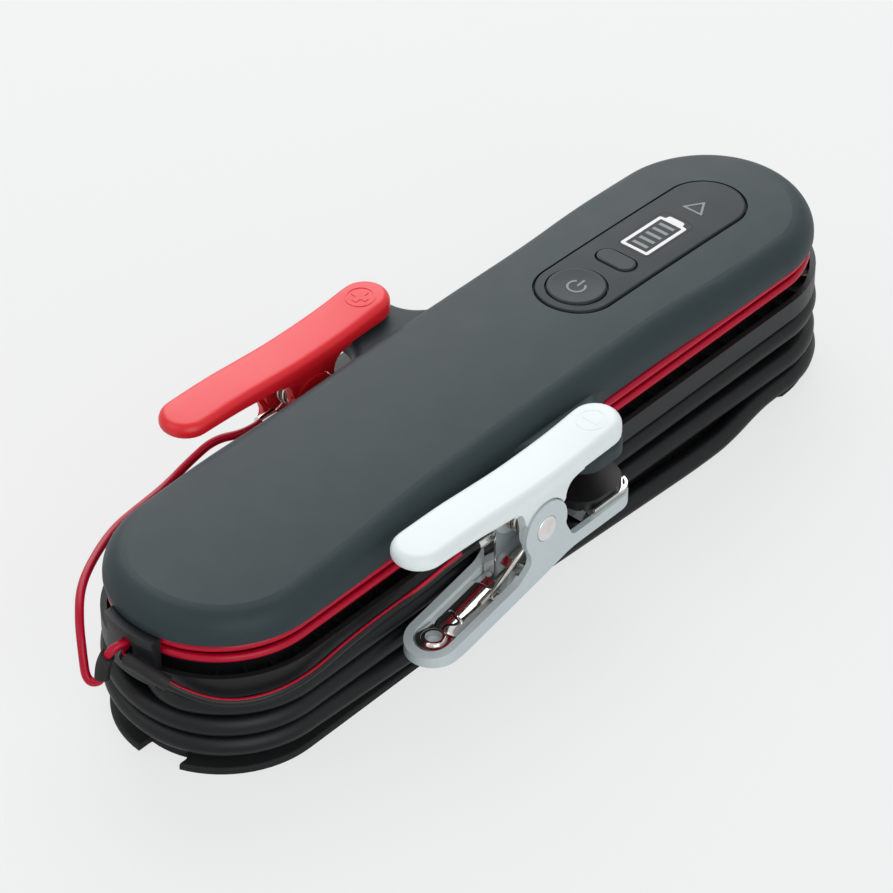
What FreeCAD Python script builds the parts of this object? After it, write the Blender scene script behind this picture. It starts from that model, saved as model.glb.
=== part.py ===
"""Charging pack with two clamp leads: a long flat body, leads and mains cable wound round its waist."""
import FreeCAD, Part
import math
import os

V = FreeCAD.Vector
os.makedirs("parts", exist_ok=True)

# Body outline (millimetres, floor at zero, X along the body)
body_length = 300.0
body_width = 70.0
waist_width = 66.2
waist_end_gap = 15.0
waist_blend = 55.0

# Heights of the layers
base_height = 31.4
groove_height = 18.8
crown_rise = 14.04
crown_long_radius = 2500.0
crown_cross_radius = 217.0
edge_round = 8.5

# Walls of the housing
shell_wall = 2.4
core_inset = 8.5
core_wall = 1.9
floor_wall = 2.2
base_wall = 2.4
base_step = 5.6
flange_side_inset = 2.6
flange_run = 55.0
flange_blend = 40.0

# Cable tray of the middle housing
tray_floor = 2.0
lip_overhang = 1.2
lip_thickness = 2.0
lip_height = 7.3
tray_rib_pitch = 9.0
tray_rib_thickness = 1.2
tray_rib_height = 4.3

# Ears that the clamps grip
ear_reach = 54.4
ear_tip_half = 3.0
ear_corner_radius = 9.0
ear_blend_radius = 13.0
top_ear_thickness = 6.2
top_ear_round = 3.0
lower_ear_thickness = 3.0
lower_ear_drop = 14.0

# Control panel and its pieces
panel_set_back = 34.0
panel_half_length = 32.4
panel_radius = 13.36
panel_proud = 0.3
panel_edge_round = 0.7
panel_thickness = 2.0
panel_ledge = 1.5
panel_groove = 0.7
window_fit = 0.1
panel_play = 0.05
button_gap = 0.55
button_travel = 0.8
power_button_radius = 9.7
power_button_proud = 0.5
mode_button_pitch = 19.7
mode_button_width = 7.4
mode_button_length = 14.4
mode_button_proud = 0.45
collar_overlap = 1.1
collar_thickness = 1.2
lens_pitch = 19.75
lens_length = 24.9
lens_width = 12.8
lens_corner = 2.5
warning_pitch = 21.15
warning_side = 7.4
display_board_drop = 9.6
board_thickness = 1.6
display_board_length = 88.0
display_board_width = 33.0
switch_body = 6.0
led_size = 2.2

# Circuit inside
board_radius = 25.0
component_gap = 2.5
transformer_length = 40.0
transformer_width = 34.0
transformer_height = 23.0
capacitor_set_back = 25.0
capacitor_radius = 8.0
capacitor_height = 20.0
capacitor_pitch = 17.5
heat_sink_set_back = 53.0
heat_sink_length = 46.0
heat_sink_height = 17.0
heat_sink_pitch = 5.0
heat_sink_fin = 1.4
heat_sink_fins = 6
transistor_pitch = 14.0

# Screws that hold base, board and top together
screw_set_back = 10.0
screw_y = 20.5
screw_radius = 1.45
screw_head_radius = 2.9
screw_head_height = 2.2
screw_seat = 22.0
screw_bite = 11.0
screw_play = 0.05
base_post_radius = 4.6
top_post_radius = 3.6

# Mains cable
mains_diameter = 7.2
mains_wind_radius = 33.3
mains_gap = 0.65
mains_guard_length = 9.0
mains_guard_width = 9.4
mains_guard_height = 9.6
plug_length = 35.0
plug_width = 35.3
plug_height = 13.7
plug_pin_length = 19.0
plug_pin_radius = 2.0
plug_pin_spacing = 19.0
plug_y = 54.6
plug_x = -10.0

# Clamp leads
lead_diameter = 2.8
positive_wind_radius = 32.6
negative_wind_radius = 30.2
lead_step = 4.2
sleeve_wall = 0.8
sleeve_play = 0.1
anchor_thickness = 2.8
anchor_gap = 0.4
anchor_height = 17.4
anchor_low_y = -7.9
anchor_high_y = 13.0
anchor_bead = 0.8
keyhole_low_y = 0.4
keyhole_high_y = 5.0

# Clamps: places are measured from the pivot, X towards the jaws
clamp_y = 47.5
pivot_x = -31.8
pivot_drop = 4.9
clamp_length = 100.0
clamp_half_width = 9.0
clamp_wall = 2.0
lever_half_width = 8.5
lever_wall = 2.0
lever_cheek_thickness = 1.9
side_play = 0.3
cheek_radius = 9.5
lug_radius = 8.0
pin_radius = 2.4
pin_play = 0.05
pin_head_radius = 4.2
pin_head_thickness = 1.1
pin_head_sunk = 0.9
spring_wire = 1.7
spring_radius = 4.6
spring_pitch = 2.3
spring_turns = 3
strip_thickness = 0.8
eyelet_radius = 4.1
eyelet_hole = 2.7
eyelet_height = 0.7
strip_half_width = 5.6
trough_rim = 2.85
liner_rim_height = 1.2
lever_edge_round = 1.7
jaw_play = 0.3
terminal_radius = 2.3
terminal_set_in = 3.0

half_straight = (body_length - body_width) / 2
end_radius = body_width / 2
rim = base_height + groove_height
pivot_z = rim - pivot_drop
clamp_scale = clamp_length / 100.0
waist_outer = half_straight - waist_end_gap
waist_inner = waist_outer - waist_blend
panel_x = half_straight - panel_set_back
power_button_x = panel_x - panel_half_length
mode_button_x = power_button_x + mode_button_pitch
lens_x = mode_button_x + lens_pitch
warning_x = lens_x + warning_pitch
capacitor_x = capacitor_set_back - half_straight
transformer_x = (capacitor_x + capacitor_pitch + capacitor_radius + component_gap
                 + transformer_length / 2)
heat_sink_x = half_straight - heat_sink_set_back
screw_x = half_straight - screw_set_back
core_radius = end_radius - core_inset
core_outer = core_radius + core_wall
crown_top = rim + crown_rise
lip_radius = end_radius + lip_overhang
base_core = end_radius - base_step
mains_radius = mains_diameter / 2
lead_radius = lead_diameter / 2
board_top = base_height - 0.1 + board_thickness
floor_side = end_radius - flange_side_inset
screw_places = [(sx * screw_x, sy * screw_y) for sx in (-1, 0, 1) for sy in (-1, 1)]


def save(name, shape):
    """Write one piece, as one clean solid."""
    solid = shape.Solids[0] if len(shape.Solids) == 1 else shape
    print("%-26s %d solid %10.1f mm3 valid %s" % (name, len(shape.Solids), shape.Volume, shape.isValid()))
    solid.exportStep("parts/%s.step" % name)


def ring_line(radius, z, half=None):
    """Closed line at one distance round the body's middle line: two straights and two half circles."""
    h = half_straight if half is None else half
    r = radius
    edges = [Part.LineSegment(V(-h, -r, z), V(h, -r, z)).toShape(),
             Part.Arc(V(h, -r, z), V(h + r, 0, z), V(h, r, z)).toShape(),
             Part.LineSegment(V(h, r, z), V(-h, r, z)).toShape(),
             Part.Arc(V(-h, r, z), V(-h - r, 0, z), V(-h, -r, z)).toShape()]
    return Part.Wire(edges)


def oval(radius, low, high, half=None, x=0.0):
    """Upright solid with round ends, from one height to another."""
    face = Part.Face(ring_line(radius, low, half))
    face.translate(V(x, 0, 0))
    return face.extrude(V(0, 0, high - low))


def box(x0, x1, y0, y1, z0, z1):
    return Part.makeBox(x1 - x0, y1 - y0, z1 - z0, V(x0, y0, z0))


def post(x, y, radius, low, high):
    return Part.makeCylinder(radius, high - low, V(x, y, low))


def rounded(corners, place):
    """Flat face through corners (u, v, radius); place turns u and v into a point."""
    count = len(corners)
    points = [V(u, v, 0) for u, v, r in corners]
    pieces = []
    for i in range(count):
        here, radius = points[i], corners[i][2]
        before = (points[i - 1] - here).normalize()
        after = (points[(i + 1) % count] - here).normalize()
        if radius <= 0:
            pieces.append((here, None, here))
            continue
        half = before.getAngle(after) / 2
        reach = radius / math.tan(half)
        middle = here + (before + after).normalize() * (radius / math.sin(half) - radius)
        pieces.append((here + before * reach, middle, here + after * reach))
    edges = []
    for i in range(count):
        start, middle, end = pieces[i]
        if middle is not None:
            ends = [place(p.x, p.y) for p in (start, middle, end)]
            edges.append(Part.Arc(*ends).toShape())
        nxt = pieces[(i + 1) % count][0]
        if (nxt - end).Length > 1e-6:
            edges.append(Part.LineSegment(place(end.x, end.y), place(nxt.x, nxt.y)).toShape())
    return Part.Face(Part.Wire(edges))


def plan(corners, low, high):
    """Upright solid from corners in X and Y."""
    return rounded(corners, lambda u, v: V(u, v, low)).extrude(V(0, 0, high - low))


def side(corners, low, high):
    """Solid from corners in X and Z, between two values of Y."""
    return rounded(corners, lambda u, v: V(u, low, v)).extrude(V(0, high - low, 0))


def arc_edge(start, corner, end):
    """Arc from start to end that is tangent to both legs of the corner."""
    middle = (start + end) * 0.5
    chord = (end - start).Length / 2
    rise = (corner - middle).Length
    if rise < chord * 1e-6:
        return Part.LineSegment(start, end).toShape()
    half = math.atan2(rise, chord)
    top = middle + (corner - middle) * (math.tan(half / 2) * chord / rise)
    return Part.Arc(start, top, end).toShape()


def biarc(p, t, q, u):
    """Two arcs that leave p along t, meet smoothly and reach q along u."""
    v = q - p
    s = t + u
    a = 2 * (1 - t.dot(u))
    b = 2 * v.dot(s)
    c = -v.dot(v)
    reach = -c / b if abs(a) < 1e-9 else (math.sqrt(b * b - 4 * a * c) - b) / (2 * a)
    first = p + t * reach
    second = q - u * reach
    joint = (first + second) * 0.5
    return [arc_edge(p, first, joint), arc_edge(joint, second, q)]


def wound_path(stations):
    """Edges through stations (point, heading): a straight where both headings lie on it, else a biarc."""
    edges = []
    for (p, t), (q, u) in zip(stations, stations[1:]):
        t = V(t).normalize()
        u = V(u).normalize()
        way = (q - p).normalize()
        if way.cross(t).Length < 1e-6 and way.cross(u).Length < 1e-6:
            edges.append(Part.LineSegment(p, q).toShape())
        else:
            edges.extend(biarc(p, t, q, u))
    return edges


def route(points, name):
    """Edges of a free cord: straight runs joined by arcs as large as the runs allow."""
    edges = []
    radii = []
    last = points[0]
    for before, here, after in zip(points, points[1:], points[2:]):
        back = before - here
        ahead = after - here
        shorter = min(back.Length, ahead.Length)
        turn = math.pi - back.getAngle(ahead)
        reach = 0.45 * shorter
        radii.append(reach / math.tan(turn / 2))
        start = here + back.normalize() * reach
        end = here + ahead.normalize() * reach
        edges.append(Part.LineSegment(last, start).toShape())
        edges.append(arc_edge(start, here, end))
        last = end
    edges.append(Part.LineSegment(last, points[-1]).toShape())
    print("%s bend radii %s" % (name, " ".join("%.1f" % r for r in radii)))
    return edges


def tube(edges, radius):
    """Round tube along joined edges."""
    wire = Part.Wire(edges)
    first = edges[0]
    start = first.valueAt(first.FirstParameter)
    heading = first.tangentAt(first.FirstParameter)
    ring = Part.Wire(Part.Circle(start, heading, radius).toShape())
    shape = wire.makePipeShell([ring], True, False)
    length = sum(edge.Length for edge in edges)
    print("  tube length %.1f, volume ratio %.4f" % (length, shape.Volume / (math.pi * radius ** 2 * length)))
    return shape


def least_gap(name, edges, diameter, step):
    """Print the least gap between stretches of one wound tube."""
    points = []
    for edge in edges:
        count = max(2, int(edge.Length / step) + 1)
        points.extend(edge.discretize(Number=count)[:-1])
    skip = int(3 * diameter / step)
    least = 1e9
    for i in range(0, len(points)):
        a = points[i]
        for j in range(i + skip, len(points)):
            b = points[j]
            if abs(a.x - b.x) < 20 and abs(a.z - b.z) < 20 and abs(a.y - b.y) < 20:
                gap = (a - b).Length
                if gap < least:
                    least = gap
    print("%s least gap to itself %.2f" % (name, least - diameter))


def crown(drop=0.0):
    """Everything under the gently domed top surface, lowered by drop."""
    top = crown_top - drop
    wide = ear_reach + 10
    low = -crown_long_radius / 20
    sag = crown_cross_radius - math.sqrt(crown_cross_radius ** 2 - wide ** 2)
    edges = [Part.LineSegment(V(0, -wide, low), V(0, wide, low)).toShape(),
             Part.LineSegment(V(0, wide, low), V(0, wide, top - sag)).toShape(),
             Part.Arc(V(0, wide, top - sag), V(0, 0, top), V(0, -wide, top - sag)).toShape(),
             Part.LineSegment(V(0, -wide, top - sag), V(0, -wide, low)).toShape()]
    face = Part.Face(Part.Wire(edges))
    centre = V(0, 0, top - crown_long_radius)
    half = math.degrees(math.asin((body_length * 0.6) / crown_long_radius))
    face.rotate(centre, V(0, 1, 0), -half)
    return face.revolve(centre, V(0, 1, 0), 2 * half)


def crown_at(x, y, drop=0.0):
    """Height of the domed surface."""
    sag_x = crown_long_radius - math.sqrt(crown_long_radius ** 2 - x * x)
    sag_y = crown_cross_radius - math.sqrt(crown_cross_radius ** 2 - y * y)
    return crown_top - drop - sag_x - sag_y


def crown_edges(shape, drop):
    """Edges of a shape that lie on the domed surface."""
    found = []
    for edge in shape.Edges:
        middle = edge.valueAt((edge.FirstParameter + edge.LastParameter) / 2)
        if abs(middle.z - crown_at(middle.x, middle.y, drop)) < 0.05:
            found.append(edge)
    return found


def body_outline(z):
    """Body seen from above: half round ends, and sides that draw in gently to the waist."""
    h, r, w = half_straight, end_radius, waist_width / 2
    m = (waist_inner + waist_outer) / 2
    edges = [Part.Arc(V(h, -r, z), V(h + r, 0, z), V(h, r, z)).toShape()]
    for s in (1, -1):
        def at(x, y):
            return V(s * x, s * y, z)
        edges.append(Part.LineSegment(at(h, r), at(waist_outer, r)).toShape())
        edges += biarc(at(waist_outer, r), V(-s, 0, 0), at(waist_inner, w), V(-s, 0, 0))
        edges.append(Part.LineSegment(at(waist_inner, w), at(-waist_inner, w)).toShape())
        edges += biarc(at(-waist_inner, w), V(-s, 0, 0), at(-waist_outer, r), V(-s, 0, 0))
        edges.append(Part.LineSegment(at(-waist_outer, r), at(-h, r)).toShape())
        if s == 1:
            edges.append(Part.Arc(V(-h, r, z), V(-h - r, 0, z), V(-h, -r, z)).toShape())
    return Part.Face(Part.Wire(edges))


def ear_outline(s, root, low):
    """One ear seen from above: blends out of the side and ends in a rounded tip."""
    by = waist_width / 2 + ear_blend_radius
    cx, cy = ear_tip_half, ear_reach - ear_corner_radius
    bx = cx + math.sqrt((ear_blend_radius + ear_corner_radius) ** 2 - (by - cy) ** 2)
    scale = ear_corner_radius / (ear_corner_radius + ear_blend_radius)
    mx, my = cx + (bx - cx) * scale, cy + (by - cy) * scale

    def at(x, y):
        return V(x, s * y, low)

    def blend_middle():
        ax, ay = bx, by - ear_blend_radius
        ux, uy = (ax - bx) + (mx - bx), (ay - by) + (my - by)
        n = math.hypot(ux, uy)
        return bx + ux / n * ear_blend_radius, by + uy / n * ear_blend_radius

    def corner_middle():
        ux, uy = (mx - cx), (my - cy) + ear_corner_radius
        n = math.hypot(ux, uy)
        return cx + ux / n * ear_corner_radius, cy + uy / n * ear_corner_radius

    b, c = blend_middle(), corner_middle()
    side_y = by - ear_blend_radius
    edges = [Part.LineSegment(at(-bx, root), at(bx, root)).toShape(),
             Part.LineSegment(at(bx, root), at(bx, side_y)).toShape(),
             Part.Arc(at(bx, side_y), at(*b), at(mx, my)).toShape(),
             Part.Arc(at(mx, my), at(*c), at(cx, ear_reach)).toShape(),
             Part.LineSegment(at(cx, ear_reach), at(-cx, ear_reach)).toShape(),
             Part.Arc(at(-cx, ear_reach), at(-c[0], c[1]), at(-mx, my)).toShape(),
             Part.Arc(at(-mx, my), at(-b[0], b[1]), at(-bx, side_y)).toShape(),
             Part.LineSegment(at(-bx, side_y), at(-bx, root)).toShape()]
    return Part.Face(Part.Wire(edges))


def top_edges(shape, level):
    """Edges that lie wholly above a level."""
    return [e for e in shape.Edges if min(v.Z for v in e.Vertexes) > level]


def make_top_shell():
    outer = body_outline(rim).extrude(V(0, 0, crown_rise + 10)).common(crown())
    outer = outer.makeFillet(edge_round, top_edges(outer, rim + 4))
    for s in (1, -1):
        ear = ear_outline(s, 20, rim).extrude(V(0, 0, top_ear_thickness))
        reach = [e for e in ear.Edges
                 if min(v.Z for v in e.Vertexes) > rim + 1 and min(s * v.Y for v in e.Vertexes) > waist_width / 2 - 0.1]
        outer = outer.fuse(ear.makeFillet(top_ear_round, reach))
    cavity = oval(core_radius, rim - 1, rim + crown_rise).common(crown(shell_wall))
    pad = oval(panel_radius + shell_wall, rim - 1, rim + crown_rise, panel_half_length, panel_x)
    cavity = cavity.cut(pad.cut(crown(panel_thickness + panel_ledge - panel_proud)))
    shell = outer.cut(cavity)
    shell = shell.cut(panel_space(panel_groove).cut(crown(panel_thickness + panel_play - panel_proud)))
    opening = oval(panel_radius - panel_ledge, rim, rim + crown_rise, panel_half_length, panel_x)
    shell = shell.cut(opening)
    for x, y in screw_places:
        peg = post(x, y, top_post_radius, board_top, rim + crown_rise).common(crown(shell_wall / 2))
        shell = shell.fuse(peg)
        shell = shell.cut(post(x, y, screw_radius + screw_play, board_top - 1, board_top + screw_bite + 1))
    for x, y in display_posts():
        peg = post(x, y, 2.6, display_top(), rim + crown_rise)
        peg = peg.common(crown(panel_thickness + panel_play - panel_proud))
        shell = shell.fuse(peg.cut(opening))
    return shell.removeSplitter()


def panel_space(extra):
    """Upright space of the control panel, with some extra all round."""
    return oval(panel_radius + extra, rim, rim + crown_rise + 5, panel_half_length, panel_x)


def display_top():
    return crown_top - display_board_drop


def display_posts():
    """Places of the four posts that the display board hangs from."""
    dx = display_board_length / 2 - 3.5
    dy = display_board_width / 2 - 2.6
    return [(panel_x + sx * dx, sy * dy) for sx in (-1, 1) for sy in (-1, 1)]


def capsule(x, width, length, low, high, extra=0.0):
    """Upright solid across the body with rounded ends."""
    r = width / 2 + extra
    h = (length - width) / 2
    face = Part.Face(ring_line(r, low, h))
    face.rotate(V(0, 0, 0), V(0, 0, 1), 90)
    face.translate(V(x, 0, 0))
    return face.extrude(V(0, 0, high - low))


def lens_outline(extra, low, high):
    l, w, r = lens_length / 2 + extra, lens_width / 2 + extra, lens_corner + extra
    return plan([(lens_x - l, -w, r), (lens_x + l, -w, r), (lens_x + l, w, r), (lens_x - l, w, r)], low, high)


def warning_outline(extra, low, high):
    """Small triangle that points towards the far end."""
    r = warning_side / math.sqrt(3) + 2 * extra
    corners = [(warning_x + r * math.cos(math.radians(a)), r * math.sin(math.radians(a)), 0.6 + extra)
               for a in (0, 120, 240)]
    return plan(corners, low, high)


def collar_seat(x, reach):
    """Flat seat for a button's collar, cut up into the panel's underside."""
    return crown_at(x, reach, panel_thickness - panel_proud) + 0.5


def power_collar():
    return power_button_radius + button_gap + collar_overlap


def make_control_panel():
    low, high = rim, rim + crown_rise + 5
    panel = panel_space(0).common(crown(-panel_proud)).cut(crown(panel_thickness - panel_proud))
    panel = panel.makeFillet(panel_edge_round, crown_edges(panel, -panel_proud))
    panel = panel.cut(post(power_button_x, 0, power_button_radius + button_gap, low, high))
    seat = collar_seat(power_button_x, power_button_radius + collar_overlap)
    panel = panel.cut(post(power_button_x, 0, power_collar() + 0.3, low, seat))
    panel = panel.cut(capsule(mode_button_x, mode_button_width, mode_button_length, low, high, button_gap))
    seat = collar_seat(mode_button_x, mode_button_length / 2 + collar_overlap)
    panel = panel.cut(capsule(mode_button_x, mode_button_width, mode_button_length, low, seat,
                              button_gap + collar_overlap + 0.3))
    panel = panel.cut(lens_outline(window_fit, low, high))
    return panel.cut(warning_outline(window_fit, low, high))


def make_power_button():
    """Round cap with a dished top, a collar under the panel and a stem down to its switch."""
    seat = collar_seat(power_button_x, power_button_radius + collar_overlap)
    top = crown_at(power_button_x, 0, -panel_proud) + power_button_proud
    cap = post(power_button_x, 0, power_button_radius, seat - collar_thickness, top)
    cap = cap.makeFillet(0.8, [e for e in cap.Edges if abs(e.CenterOfMass.z - top) < 0.01])
    ball = 60.0
    cap = cap.cut(Part.makeSphere(ball, V(power_button_x, 0, top + ball - 0.6)))
    collar = post(power_button_x, 0, power_collar(), seat - collar_thickness, seat - 0.02)
    stem = post(power_button_x, 0, 2.2, switch_top() + button_travel + 0.1, seat)
    return cap.fuse([collar, stem]).removeSplitter()


def make_mode_button():
    seat = collar_seat(mode_button_x, mode_button_length / 2 + collar_overlap)
    top = crown_at(mode_button_x, 0, -panel_proud) + mode_button_proud
    cap = capsule(mode_button_x, mode_button_width, mode_button_length, seat - collar_thickness, top)
    cap = cap.makeFillet(0.7, [e for e in cap.Edges if abs(e.CenterOfMass.z - top) < 0.01])
    collar = capsule(mode_button_x, mode_button_width, mode_button_length, seat - collar_thickness, seat - 0.02,
                     button_gap + collar_overlap)
    stem = post(mode_button_x, 0, 1.6, switch_top() + button_travel + 0.1, seat)
    return cap.fuse([collar, stem]).removeSplitter()


def make_display_board():
    dx, dy = display_board_length / 2, display_board_width / 2
    return box(panel_x - dx, panel_x + dx, -dy, dy, display_top() - board_thickness, display_top())


def switch_top():
    return display_top() + 1.9


def make_switches():
    """Two small push switches under the buttons."""
    h = switch_body / 2
    pieces = []
    for x in (power_button_x, mode_button_x):
        body = box(x - h, x + h, -h, h, display_top(), display_top() + 1.4)
        pieces.append(body.fuse(post(x, 0, 1.7, display_top() + 1.4, switch_top())))
    return Part.makeCompound(pieces)


def make_leds():
    """Five lamps under the battery window and one under the warning triangle."""
    h = led_size / 2
    spots = [lens_x + (i - 2) * 3.8 for i in range(5)] + [warning_x]
    return Part.makeCompound([box(x - h, x + h, -h, h, display_top(), display_top() + 1.0) for x in spots])


def make_flange():
    """Foot flange: full width round the ends, narrower beside the cable, notched for the tail."""
    h, r, f = half_straight, end_radius, floor_side
    side = [(-h - r, -r, r - 0.05), (flange_run - h, -r, 150), (flange_run + flange_blend - h, -f, 150),
            (h - 5, -f, 10), (h - 1, -r, 0), (h + r, -r, r - 0.05)]
    flange = plan(side + [(x, -y, soft) for x, y, soft in reversed(side)], 0, floor_wall)
    flange = flange.makeFillet(0.8, top_edges(flange, floor_wall - 0.1))
    notch = plan([(-body_length, -12.3, 0), (-h - 27, -12.3, 3.5), (-h - 27, 2.5, 3.5),
                  (-body_length, 2.5, 0)], -1, floor_wall + 1)
    return flange.cut(notch)


def make_base():
    """Foot flange, floor, cable wall and screw posts, open upwards."""
    tip = -half_straight
    flange = make_flange()
    base = flange.fuse(oval(base_core, 0, base_height))
    base = base.cut(oval(base_core - base_wall, floor_wall, base_height + 1))
    for x, y in screw_places:
        base = base.fuse(post(x, y, base_post_radius, 0, base_height - 0.1))
    z = mains_start().z
    base = base.fuse(make_guard_block(floor_wall / 2, z - mains_guard_height / 2))
    for x, y in screw_places:
        base = base.cut(post(x, y, screw_head_radius + 0.3, -1, screw_seat))
        base = base.cut(post(x, y, screw_radius + 0.15, -1, base_height + 1))
    window = plan([(tip - 37, -17, 0), (tip - 13, -17, 0), (tip - 13, 10.0, 0), (tip - 37, 10.0, 0)],
                  z - mains_radius - 0.6, base_height + 1)
    ring = oval(base_core + 0.1, floor_wall, base_height + 1)
    ring = ring.cut(oval(base_core - base_wall - 0.1, 0, base_height + 2))
    return base.cut(window.common(ring)).removeSplitter()


def make_mid_housing():
    """Cable tray: floor, lip, ribs, inner wall and the lower ears."""
    low = base_height
    inside = lip_radius - lip_thickness
    tray = oval(lip_radius, low, low + tray_floor)
    lip = oval(lip_radius, low, low + lip_height).cut(oval(inside, low, low + lip_height))
    pieces = [lip, oval(core_outer, low, rim)]
    for s in (1, -1):
        ear = ear_outline(s, 20, rim - lower_ear_drop).extrude(V(0, 0, lower_ear_thickness))
        pieces.append(ear.cut(oval(inside, low, rim)))
    top = low + tray_rib_height
    half = tray_rib_thickness / 2
    count = int(2 * half_straight / tray_rib_pitch)
    for i in range(count + 1):
        x = -half_straight + 2 * half_straight * i / count
        for s in (1, -1):
            y0, y1 = sorted((s * (core_outer - 0.5), s * (inside + 0.5)))
            pieces.append(box(x - half, x + half, y0, y1, low + 1, top))
    turns = int(math.pi * positive_wind_radius / tray_rib_pitch)
    for i in range(1, turns):
        for s in (-1, 1):
            if s < 0 and abs(i - turns / 2) < 2.2:
                continue
            rib = box(core_outer - 0.5, inside + 0.5, -half, half, low + 1, top)
            rib.rotate(V(0, 0, 0), V(0, 0, 1), -90 * s + 180.0 * i / turns)
            rib.translate(V(s * half_straight, 0, 0))
            pieces.append(rib)
    tray = tray.fuse(pieces)
    tray = tray.cut(oval(core_radius, low - 1, rim + 1))
    gap = 0.2
    y0, y1 = anchor_low_y - gap, anchor_high_y + gap
    slot = plan([(-body_length, y0, 0), (-120, y0, 0), (-120, y1, 0), (-body_length, y1, 0)], low - 1, rim)
    tray = tray.cut(slot.cut(oval(end_radius - anchor_gap - gap, low - 2, rim + 1)))
    above = slot.common(box(-body_length, 0, -50, 50, low + tray_floor, rim))
    tray = tray.cut(above.cut(oval(inside - 0.1, low - 2, rim + 1)))
    x0, x1, y0, y1, z0, z1 = gland_window()
    return tray.cut(box(x0, x1, y0, y1, z0, z1 + 1)).removeSplitter()


def gland_window():
    """Opening in the inner wall for the lead gland, on the far side near the lead end."""
    return (3.0 - half_straight, 11.0 - half_straight, core_radius - 2, core_outer + 1, rim - 5.9, rim - 0.2)


def make_lead_gland():
    """Rubber block through the inner wall that both leads come out of."""
    x0, x1, y0, y1, z0, z1 = gland_window()
    reach = positive_wind_radius + lead_radius + 0.2
    block = box(x0 + 0.05, x1 - 0.05, y0, core_outer + 0.2, z0 + 0.05, z1)
    block = block.fuse(box(x0, x1 + 2, core_outer + 0.05, reach, z0 + 0.05, z1))
    return block.fuse(box(x0 - 2, x1 + 2, y0, core_radius - 0.05, z0 - 1, z1)).removeSplitter()


def mains_start():
    """Where the mains cable leaves its guard; it bends out of the wall from there."""
    return V(-half_straight - 19.8, 9.1, rim - 22.6)


def make_guard_block(low, high):
    """Block across the cable's direction, behind the notch in the cable wall."""
    w = mains_guard_width / 2
    block = box(0, mains_guard_length, -w, w, low, high)
    block.rotate(V(0, 0, 0), V(0, 0, 1), 45)
    start = mains_start()
    block.translate(V(start.x, start.y, 0))
    return block


def make_cord_guard():
    """Strain relief of the mains cable, seated on the base's cradle."""
    z = mains_start().z
    h = mains_guard_height / 2
    return make_guard_block(z - h, z + h - 1.1)


def mains_stations():
    """Points and headings of the wound mains cable, from its guard to the far side."""
    r = mains_wind_radius
    h = half_straight
    pitch = mains_diameter + mains_gap
    out = V(-1, -1, 0).normalize()
    start = mains_start()
    a = math.radians(210)
    first = rim - 24.3
    turn2 = first - pitch
    turn3 = turn2 - pitch
    floor_run = mains_radius + 0.3
    last = floor_wall + mains_radius + 0.1
    wide = floor_side + mains_radius + 0.45
    far = r + 0.7
    slope = V(2 * h, 0, last + pitch + 0.2 - turn2)
    back = V(-2 * h, 0, pitch * 0.25)

    def end(angle, z):
        t = math.radians(angle)
        return V(-h + r * math.cos(t), r * math.sin(t), z)

    return [
        (start, out),
        (start + out * 9.0, out),
        (end(210, first + 1.4), V(-math.sin(a), math.cos(a), -0.04)),
        (V(-h, -r, first), V(1, 0, 0)),
        (V(h, -r, first), V(1, 0, 0)),
        (V(h, r, first - 0.9), V(-1, 0, 0)),
        (V(-h, r, first - 1.9), V(-1, 0, 0)),
        (end(180, first - 5.1), V(0, -1, -0.16)),
        (V(-h, -r, turn2), slope),
        (V(h, -r, last + pitch + 0.2), slope),
        (V(h, r, last + pitch + 0.5), back),
        (V(-h, r, last + pitch * 1.25 + 0.5), back),
        (end(180, first - 5.2 - pitch), V(0, -1, -0.15)),
        (V(-h, -r, turn3), V(1, -0.017, -0.036)),
        (V(h - 53, -wide, floor_run), V(1, 0, 0)),
        (V(h - 43, -wide, floor_run), V(1, 0, 0)),
        (V(h - 3, -far, last), V(1, 0, 0)),
        (V(h, -far, last), V(1, 0, 0)),
        (V(h, far, last), V(-1, 0, 0)),
        (V(h - 23, far, last), V(-1, 0, 0)),
    ]


def tail_points():
    """Points of the free end of the mains cable, down to the plug on the floor behind the body."""
    p = mains_stations()[-1][0]
    low = plug_height / 2
    return [p, V(p.x - 33, p.y, p.z), V(plug_x + 33, plug_y, low), V(plug_x, plug_y, low)]


def make_plug():
    """Flat mains plug lying on its side, tapered towards the cable."""
    x1, x0 = plug_x, plug_x - plug_length
    w, h = plug_width / 2, plug_height / 2
    nose = 5.2
    body = plan([(x1, plug_y - nose, 1.5), (x1 - 12, plug_y - nose - 1.5, 8), (x1 - 22, plug_y - w, 6),
                 (x0, plug_y - w, 2), (x0, plug_y + w, 2), (x1 - 22, plug_y + w, 6),
                 (x1 - 12, plug_y + nose + 1.5, 8), (x1, plug_y + nose, 1.5)], 0, plug_height)
    profile = side([(x1, h - nose, 1.0), (x1 - 14, 0, 20), (x0, 0, 1.5), (x0, 2 * h, 1.5), (x1 - 14, 2 * h, 20),
                    (x1, h + nose, 1.0)], plug_y - w - 1, plug_y + w + 1)
    return body.common(profile)


def make_plug_pins():
    pins = []
    x0 = plug_x - plug_length
    for s in (-1, 1):
        foot = V(x0, plug_y + s * plug_pin_spacing / 2, plug_height / 2)
        pin = Part.makeCylinder(plug_pin_radius, plug_pin_length, foot, V(-1, 0, 0))
        tip = [e for e in pin.Edges if abs(e.CenterOfMass.x - (x0 - plug_pin_length)) < 0.01]
        pins.append(pin.makeFillet(1.2, tip))
    return Part.makeCompound(pins)


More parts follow.
